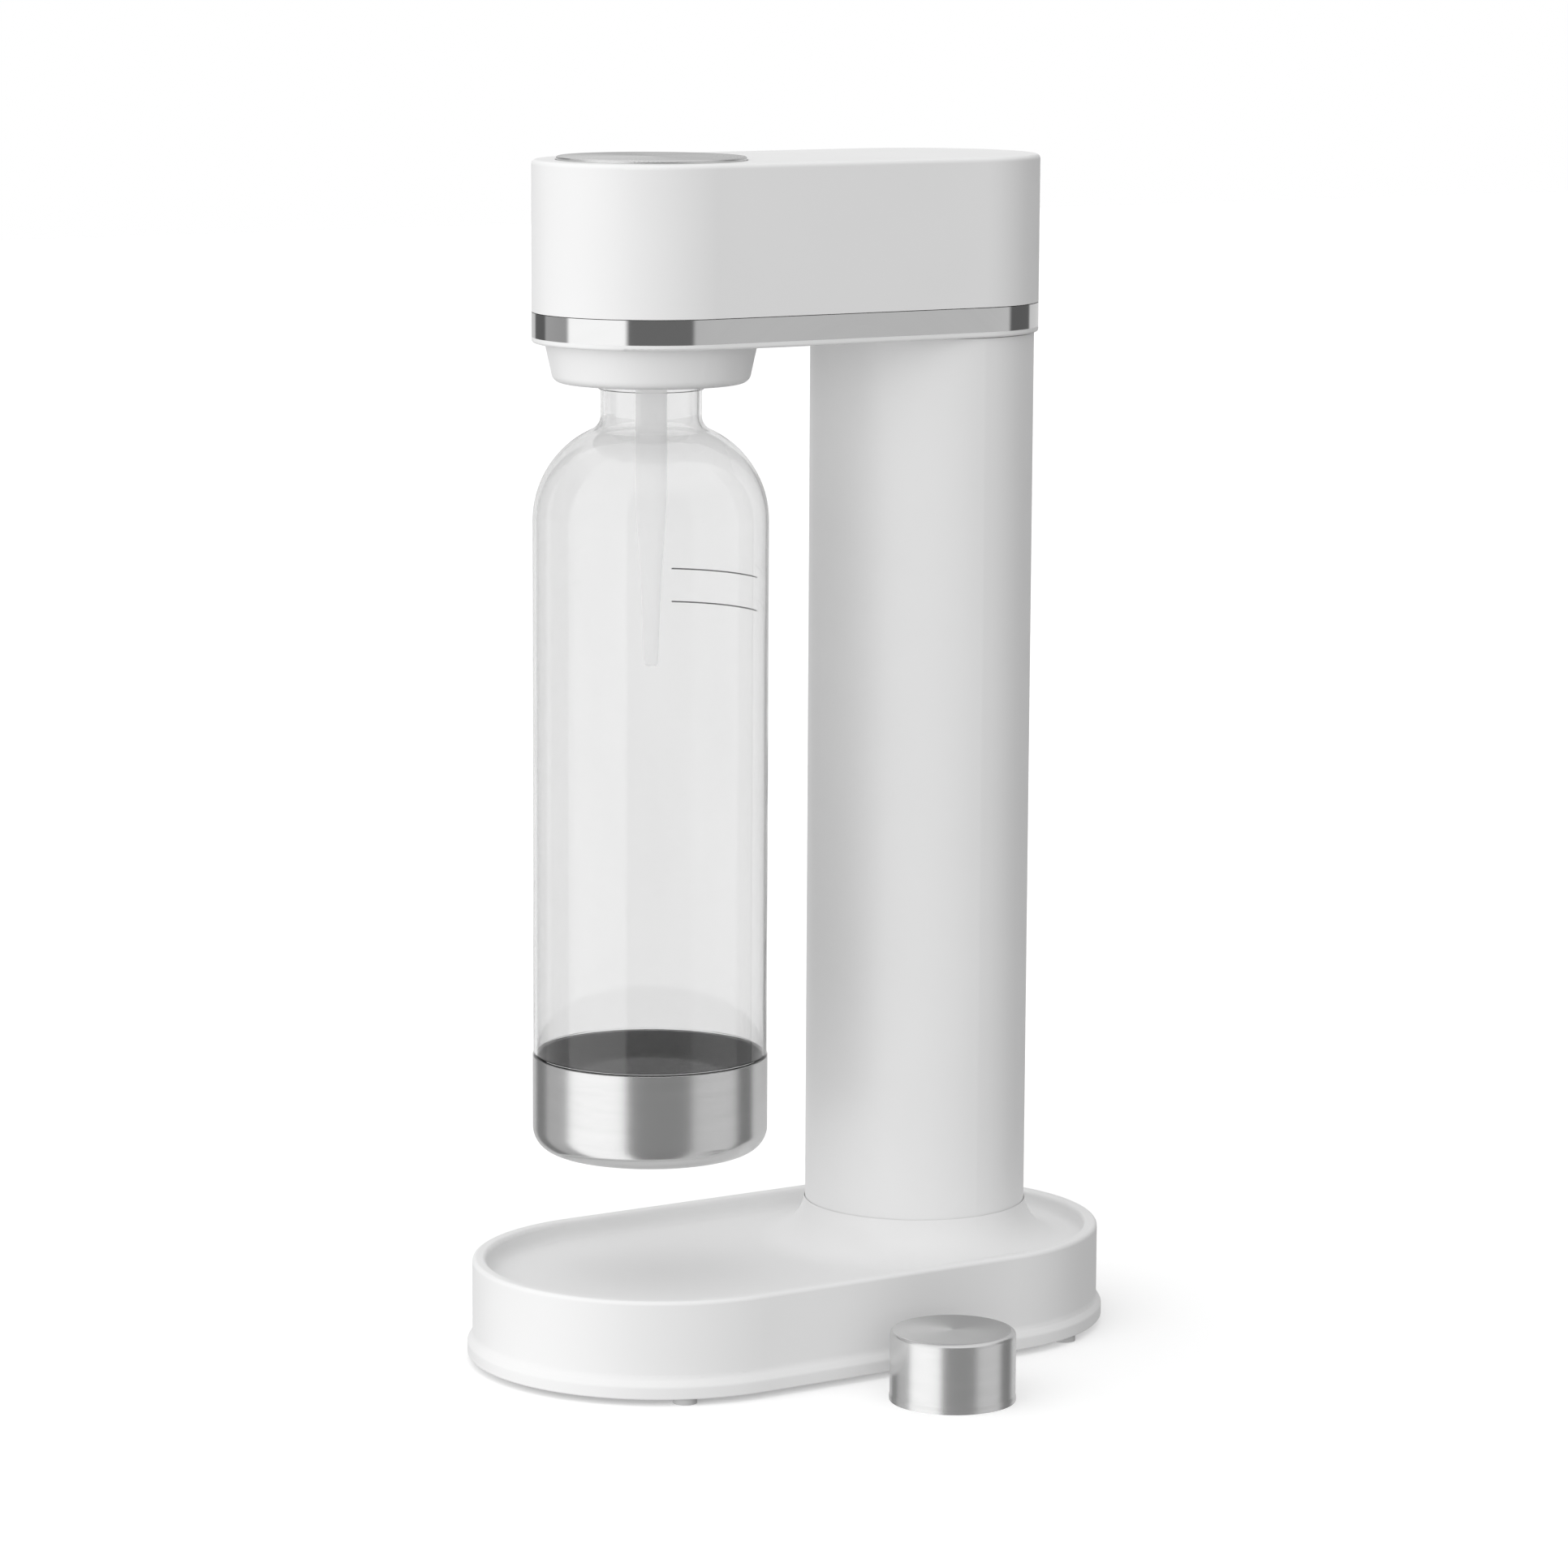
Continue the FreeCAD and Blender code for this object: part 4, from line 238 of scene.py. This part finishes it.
white = moulded("white_body", grey(0.84), grey(0.89), 0.42, 0.06, 0.00002, IOR=1.46)
polished = steel("polished_steel", grey(0.60), grey(0.66), 0.09, streak=POLISHED_STREAK_SCALE)
bottle_steel = steel("bottle_steel", grey(0.62), grey(0.76), 0.2, anisotropic=0.55,
                     centre=BOTTLE_AXIS, metallic=0.8)
# The cap's and button's tops carry a painted reflection: a bright and a dark sector painted into their
# colour.
cap_steel = steel("cap_steel", grey(0.64), grey(0.78), 0.22, anisotropic=0.7,
                  centre=CAP_AXIS, metallic=0.75, painted_sector_turn=100.0)
button_steel = steel("button_steel", grey(0.6), grey(0.74), 0.26, anisotropic=0.7,
                     centre=BOTTLE_AXIS, metallic=0.85, painted_sector_turn=60.0)
zinc = metal("zinc_steel", (0.55, 0.56, 0.58, 1), (0.68, 0.68, 0.66, 1), 0.32)
spring = metal("spring_steel", grey(0.42), grey(0.52), 0.28)
aluminium = metal("valve_aluminium", grey(0.66), grey(0.75), 0.35)
brass = metal("brass", (0.72, 0.52, 0.22, 1), (0.82, 0.62, 0.3, 1), 0.28)
grey_plastic = moulded("grey_plastic", grey(0.30), grey(0.36), 0.45, 0.06, 0.00003)
hose = moulded("hose_plastic", grey(0.62), grey(0.72), 0.35, 0.05, 0.00002)
# The nozzle tube's milky plastic has a painted glow: its emission brightens it as if light came through it,
# though it is no lamp.
milky_with_painted_glow = moulded("nozzle_plastic", grey(0.9), grey(0.95), 0.38, 0.05, 0.00002,
                Emission_Color=grey(1.0), Emission_Strength=0.36)
liner = moulded("cap_plastic", grey(0.68), grey(0.74), 0.45, 0.05, 0.00002)
paint = moulded("cylinder_paint", (0.10, 0.16, 0.30, 1), (0.12, 0.19, 0.34, 1), 0.32, 0.06, 0.00002)
rubber = moulded("black_rubber", grey(0.018), grey(0.03), 0.7, 0.08, 0.00005, RUBBER_GRAIN_SCALE)
foot_rubber = moulded("foot_rubber", grey(0.5), grey(0.58), 0.7, 0.08, 0.00005, RUBBER_GRAIN_SCALE)
clear_plastic = clear("clear_plastic")
print_ink = moulded("print_ink", grey(0.16), grey(0.22), 0.5, 0.05, 0.00001)

FINISHES = {
    white: ("head_shell", "head_base", "nozzle_collar", "column_tube", "base_shell", "column_socket"),
    polished: ("trim_band",),
    bottle_steel: ("bottle_base_cup",),
    cap_steel: ("cap_shell",),
    button_steel: ("push_button",),
    zinc: ("head_screws", "guide_screws", "actuating_lever", "lever_pin", "collar_screws", "tie_rods",
           "tie_nuts", "base_screws"),
    spring: ("button_spring",),
    aluminium: ("valve_block",),
    brass: ("valve_plunger", "relief_valve", "cylinder_valve", "cylinder_valve_pin"),
    grey_plastic: ("button_carrier", "button_guide", "bottle_lock_ring", "nozzle_head", "nozzle_retainer",
                   "hose_fitting_rear", "hose_fitting_front", "cylinder_sleeve", "base_plate"),
    hose: ("gas_hose",),
    milky_with_painted_glow: ("nozzle_tube",),
    liner: ("cap_liner",),
    paint: ("co2_cylinder",),
    rubber: ("plunger_seal", "cylinder_gasket", "bottle_seal", "cap_seal"),
    foot_rubber: ("foot_ring", "feet"),
    clear_plastic: ("bottle_body", "bottle_shoulder", "bottle_neck"),
}
for finish, names in FINISHES.items():
    for name in names:
        nodes[name].data.materials.clear()
        nodes[name].data.materials.append(finish)


# ---- Mesh helpers ----
def add_piece(name, verts, faces, finish, sharp_angle=None):
    """A mesh object, smooth except where it bends by more than sharp_angle degrees, or flat without it."""
    mesh = bpy.data.meshes.new(name)
    mesh.from_pydata(verts, [], faces)
    if sharp_angle:
        mesh.shade_smooth()
        mesh.set_sharp_from_angle(angle=math.radians(sharp_angle))
    mesh.materials.append(finish)
    piece = bpy.data.objects.new(name, mesh)
    bpy.context.scene.collection.objects.link(piece)
    return piece


def swept(sections):
    """The vertices and faces of a closed rod through sections, which are rings of equally many points."""
    sides = len(sections[0])
    verts = [point for section in sections for point in section]
    faces = []
    for low in range(0, len(verts) - sides, sides):
        for side in range(sides):
            beside = (side + 1) % sides
            faces.append((low + side, low + sides + side, low + sides + beside, low + beside))
    faces.append(tuple(range(sides)))
    faces.append(tuple(range(len(verts) - 1, len(verts) - sides - 1, -1)))
    return verts, faces


def round_bottle(radius, turn, z):
    """A point at a radius and an angle about the bottle's axis."""
    return (radius * math.cos(turn), BOTTLE_Y + radius * math.sin(turn), z)


# ---- Bottle: the clear moulding as one smooth skin ----
BODY_RADIUS = 0.0412
LOWER_RADIUS = 0.0406
NECK_RADIUS = 0.0176
NECK_BORE = 0.016
WALL = 0.0011
FLOOR_Z = 0.079
FLOOR_ROUNDING = 0.026
PUNT_RISE = 0.005
PUNT_TOP_RADIUS = 0.0054
PUNT_FOOT_RADIUS = 0.012
PUNT_ROUNDING = 0.005
STEP_Z = 0.1109
SHOULDER_Z = 0.300
SHOULDER_BEND = 0.0348
SHOULDER_SLOPE = math.radians(24.8)
NECK_ROOT_ROUNDING = 0.0054
BEAD_LOW_Z = 0.3458
BEAD_HIGH_Z = 0.3472
BEAD_DEPTH = 0.0008
BEAD_ROUNDING = 0.0003
LIP_Z = 0.3627
LIP_ROUNDING = 0.0002
MOUTH_Z = 0.363
THREAD_Z = 0.3498
THREAD_PITCH = 0.0042
THREAD_HEIGHT = 0.0018
THREAD_DEPTH = 0.001
THREAD_FLANK = 0.0004
THREAD_ROWS = 3
THREAD_RUNS = 3
THREAD_WIDTH = math.radians(52)
THREAD_RUN_OUT = 0.04
# The neck has closely spaced rings from just above its bead, so that the thread can rise between them.
THREAD_RINGS_Z = 0.3474
THREAD_RING_GAP = 0.0002
THREAD_RINGS = 76
TURNS = 216
TOUCHING = 1e-6


def rounded(corners, step=0.0006):
    """The points of an outline through corners (x, z) or (x, z, rounding radius), about one step apart."""
    points = []
    for index, corner in enumerate(corners):
        here = Vector(corner[:2])
        radius = corner[2] if len(corner) > 2 else 0.0
        if not radius:
            points.append(here)
            continue
        back = (Vector(corners[index - 1][:2]) - here).normalized()
        ahead = (Vector(corners[index + 1][:2]) - here).normalized()
        half = back.angle(ahead) / 2
        start = here + back * (radius / math.tan(half))
        middle = here + (back + ahead).normalized() * (radius / math.sin(half))
        sweep = (start - middle).angle_signed(here + ahead * (radius / math.tan(half)) - middle)
        count = max(3, int(abs(sweep) * radius / step))
        for k in range(count + 1):
            turn = -sweep * k / count
            arm = start - middle
            points.append(middle + Vector((arm.x * math.cos(turn) - arm.y * math.sin(turn),
                                           arm.x * math.sin(turn) + arm.y * math.cos(turn))))
    return points


def bottle_side(inset, neck):
    """The bottle's outline from the floor's centre up: its outside, or its inside when inset by the wall."""
    body = BODY_RADIUS - inset
    lower = LOWER_RADIUS - inset
    floor_z = FLOOR_Z + inset
    bend = SHOULDER_BEND - inset
    touch_x = body - bend + bend * math.sin(SHOULDER_SLOPE)
    touch_z = SHOULDER_Z + bend * math.cos(SHOULDER_SLOPE)
    body_z = touch_z - (body - touch_x) * math.tan(SHOULDER_SLOPE)
    neck_z = touch_z + (touch_x - neck) * math.tan(SHOULDER_SLOPE)
    return [(0, floor_z + PUNT_RISE), (PUNT_TOP_RADIUS, floor_z + PUNT_RISE, PUNT_ROUNDING + inset),
            (PUNT_FOOT_RADIUS, floor_z, PUNT_ROUNDING - inset), (lower, floor_z, FLOOR_ROUNDING - inset),
            (lower, STEP_Z), (body, STEP_Z + body - lower), (body, body_z, bend),
            (neck, neck_z, NECK_ROOT_ROUNDING + NECK_RADIUS - neck)]


def clamped(value):
    return min(1.0, max(0.0, value))


def ridge(z, turn):
    """How far the interrupted thread stands out at a level and an angle."""
    sector = (turn + THREAD_WIDTH / 2) % (FULL_TURN / THREAD_RUNS)
    across = clamped(min(sector, THREAD_WIDTH - sector) / THREAD_RUN_OUT)
    height = 0.0
    for row in range(THREAD_ROWS):
        middle = THREAD_Z + row * THREAD_PITCH + THREAD_HEIGHT / 2
        height = max(height, clamped((THREAD_HEIGHT / 2 - abs(z - middle)) / THREAD_FLANK))
    return THREAD_DEPTH * across * height


bead_radius = NECK_RADIUS + BEAD_DEPTH
outside = rounded(bottle_side(0, NECK_RADIUS) + [
    (NECK_RADIUS, BEAD_LOW_Z), (bead_radius, BEAD_LOW_Z, BEAD_ROUNDING),
    (bead_radius, BEAD_HIGH_Z, BEAD_ROUNDING), (NECK_RADIUS, BEAD_HIGH_Z)])
outside += [Vector((NECK_RADIUS, THREAD_RINGS_Z + THREAD_RING_GAP * k)) for k in range(THREAD_RINGS)]
outside += rounded([(NECK_RADIUS, LIP_Z), (NECK_RADIUS, MOUTH_Z, LIP_ROUNDING), (NECK_BORE, MOUTH_Z)])[1:]
inside = rounded(bottle_side(WALL, NECK_BORE) + [(NECK_BORE, MOUTH_Z)])[:-1]
profile = outside + inside[::-1]
rings = [point for point in profile if point.x > TOUCHING]
verts = [(0, BOTTLE_Y, profile[0].y), (0, BOTTLE_Y, profile[-1].y)]
for point in rings:
    for k in range(TURNS):
        turn = FULL_TURN * k / TURNS
        on_neck = abs(point.x - NECK_RADIUS) < TOUCHING
        verts.append(round_bottle(point.x + (ridge(point.y, turn) if on_neck else 0.0), turn, point.y))
faces = []
last = 2 + (len(rings) - 1) * TURNS
for k in range(TURNS):
    after = (k + 1) % TURNS
    faces.append((0, 2 + after, 2 + k))
    faces.append((1, last + k, last + after))
    for ring in range(len(rings) - 1):
        low = 2 + ring * TURNS
        faces.append((low + k, low + after, low + TURNS + after, low + TURNS + k))
bottle = add_piece("bottle_moulding", verts, faces, clear_plastic, sharp_angle=40)
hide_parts("bottle_body", "bottle_shoulder", "bottle_neck")
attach(bottle, "bottle")

# ---- Two plain fill lines on the far side of the bottle ----
FILL_LEVELS = (0.2665, 0.2783)
FILL_FROM = 79
FILL_SWEEP = 59
FILL_STEPS = 60
FILL_HALF_HEIGHT = 0.00025
FILL_INNER = BODY_RADIUS + 0.00002
FILL_OUTER = BODY_RADIUS + 0.0001
line_verts = []
line_faces = []
for level in FILL_LEVELS:
    low_z = level - FILL_HALF_HEIGHT
    high_z = level + FILL_HALF_HEIGHT
    corners = ((FILL_OUTER, low_z), (FILL_OUTER, high_z), (FILL_INNER, high_z), (FILL_INNER, low_z))
    turns = [math.radians(FILL_FROM + FILL_SWEEP * k / FILL_STEPS) for k in range(FILL_STEPS + 1)]
    verts, faces = swept([[round_bottle(radius, turn, z) for radius, z in corners] for turn in turns])
    line_faces += [tuple(len(line_verts) + corner for corner in face) for face in faces]
    line_verts += verts
lines = add_piece("fill_lines", line_verts, line_faces, print_ink)
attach(lines, "bottle")

# ---- Button spring: the same coil, drawn at one length; the real coil shortens as the button goes down ----
COIL_RADIUS = 0.00965
WIRE_RADIUS = 0.00065
COIL_FOOT_Z = 0.400706
COIL_RISE = 0.021494
COIL_TURNS = 5
COIL_STEPS = 64
WIRE_SIDES = 16
sections = []
steps = COIL_TURNS * COIL_STEPS
tilt = math.atan2(COIL_RISE / COIL_TURNS, FULL_TURN * COIL_RADIUS)
for k in range(steps + 1):
    turn = FULL_TURN * k / COIL_STEPS
    outward = Vector((math.cos(turn), math.sin(turn), 0))
    along_wire = Vector((-math.sin(turn), math.cos(turn), 0)) * math.cos(tilt)
    forward = along_wire + Vector((0, 0, math.sin(tilt)))
    upward = outward.cross(forward)
    centre = outward * COIL_RADIUS + Vector((0, BOTTLE_Y, COIL_FOOT_Z + COIL_RISE * k / steps))
    section = []
    for side in range(WIRE_SIDES):
        around = FULL_TURN * side / WIRE_SIDES
        section.append(centre + (outward * math.cos(around) + upward * math.sin(around)) * WIRE_RADIUS)
    sections.append(section)
verts, faces = swept(sections)
coil = add_piece("return_spring", verts, faces, spring, sharp_angle=50)
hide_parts("button_spring")
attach(coil, "machine")
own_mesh(coil)

# ---- Floor ----
FLOOR_REACH = 6.0
floor_paint, g = material("floor_paint")
drift = g.noise(g.place(), FLOOR_DRIFT_SCALE, 2.0)
shader = g.add("BsdfPrincipled", None, Base_Color=g.mix(drift, grey(0.88), grey(0.90)), Roughness=0.9,
               Emission_Color=grey(1.0), Emission_Strength=0.26)
finish_material(g, shader)
corners = [(-FLOOR_REACH, -FLOOR_REACH, 0), (FLOOR_REACH, -FLOOR_REACH, 0),
           (FLOOR_REACH, FLOOR_REACH, 0), (-FLOOR_REACH, FLOOR_REACH, 0)]
floor = add_piece("floor", corners, [(0, 1, 2, 3)], floor_paint)
floor.visible_glossy = False
floor.visible_diffuse = False

# ---- Camera ----
CAMERA_PLACE = Vector((1.65004, -1.07095, 0.51514))
CAMERA_TURN = math.radians(57.094)
CAMERA_DIP = math.radians(9.042)
CAMERA_ROLL = math.radians(0.306)
CAMERA_LENS = 128.19
SENSOR_WIDTH = 36.0
look = Vector((-math.sin(CAMERA_TURN) * math.cos(CAMERA_DIP), math.cos(CAMERA_TURN) * math.cos(CAMERA_DIP),
               -math.sin(CAMERA_DIP)))
right = Vector((math.cos(CAMERA_TURN), math.sin(CAMERA_TURN), 0))
up = right.cross(look)
tilted_right = right * math.cos(CAMERA_ROLL) + up * math.sin(CAMERA_ROLL)
tilted_up = up * math.cos(CAMERA_ROLL) - right * math.sin(CAMERA_ROLL)
camera_data = bpy.data.cameras.new("camera")
camera_data.lens = CAMERA_LENS
camera_data.sensor_width = SENSOR_WIDTH
camera_data.clip_start = 0.05
camera_data.clip_end = 50.0
camera = bpy.data.objects.new("camera", camera_data)
bpy.context.scene.collection.objects.link(camera)
axes = Matrix((tilted_right, tilted_up, -look)).transposed()
camera.matrix_world = Matrix.Translation(CAMERA_PLACE) @ axes.to_4x4()
bpy.context.scene.camera = camera

# ---- Studio ----
# Panels round the walls, as angles from the camera in degrees and brightnesses up to PANEL_SCALE.
WALLS = ((-180, 0.7), (-150, 0.7), (-146, 0.15), (-124, 0.15), (-120, 0.5), (-88, 0.45), (-84, 1.45),
         (-24, 1.45), (-20, 0.2), (41, 0.2), (45, 0.68), (94, 0.74), (98, 0.15), (130, 0.15), (134, 0.8),
         (180, 0.7))
PANEL_SCALE = 2.0
OVERHEAD = 1.2
OVERHEAD_FROM = 0.45
OVERHEAD_FULL = 0.8
KEY_LEAD = math.radians(55)
KEY_SHARE = 0.68
SKY_SHARE = 0.32
EVEN_LIGHT = 0.74
DARKEST = 0.05
world = bpy.data.worlds.new("studio")
world.use_nodes = True
bpy.context.scene.world = world
g = Graph(world.node_tree)
direction = g.add("TexCoord").outputs["Generated"]
height = g.add("SeparateXYZ", None, Vector=direction).outputs[2]
away = Vector((math.sin(CAMERA_TURN), -math.cos(CAMERA_TURN), 0))


def along(axis):
    return g.add("VectorMath", {"operation": "DOT_PRODUCT"}, i0=direction, i1=axis).outputs["Value"]


def blend(factor, a, b):
    return g.add("Mix", {"data_type": "FLOAT"}, i0=factor, i2=a, i3=b).outputs[0]


# What the steel and the clear plastic reflect: the wall panels, and a plain ceiling.
turn = g.math("ARCTAN2", along(right), along(away))
ramp = g.add("ValToRGB", None, Fac=g.sum(g.product(turn, 1 / FULL_TURN), 0.5))
stops = ramp.color_ramp.elements
while len(stops) > 1:
    stops.remove(stops[-1])
for index, (angle, value) in enumerate(WALLS):
    stop = stops[0] if index == 0 else stops.new((angle + 180) / 360)
    stop.position = (angle + 180) / 360
    stop.color = grey(min(value / PANEL_SCALE, 1.0))
walls = g.product(ramp.outputs[0], PANEL_SCALE)
rise = g.add("MapRange", {"interpolation_type": "SMOOTHSTEP"}, Value=height, From_Min=OVERHEAD_FROM,
             From_Max=OVERHEAD_FULL).outputs[0]
mirrored = blend(rise, walls, OVERHEAD)

# What lights the matt surfaces: a soft light that is strongest from above and from the camera's left.
key_turn = CAMERA_TURN - KEY_LEAD
key = Vector((math.sin(key_turn), -math.cos(key_turn), 0))
soft = g.sum(g.product(along(key), KEY_SHARE), g.product(height, SKY_SHARE))
soft = g.math("MAXIMUM", g.sum(soft, EVEN_LIGHT), DARKEST)

# The backdrop, seen directly or through the clear plastic, is plain white.
ray = g.add("LightPath")
plain = g.math("MAXIMUM", ray.outputs["Is Camera Ray"], ray.outputs["Is Transmission Ray"])
lit = blend(ray.outputs["Is Diffuse Ray"], mirrored, soft)
strength = blend(plain, lit, 1.0)
background = g.add("Background", None, Color=grey(1.0), Strength=strength)
out = g.add("OutputWorld")
world.node_tree.links.new(background.outputs[0], out.inputs["Surface"])
bpy.context.scene.view_settings.view_transform = "Standard"
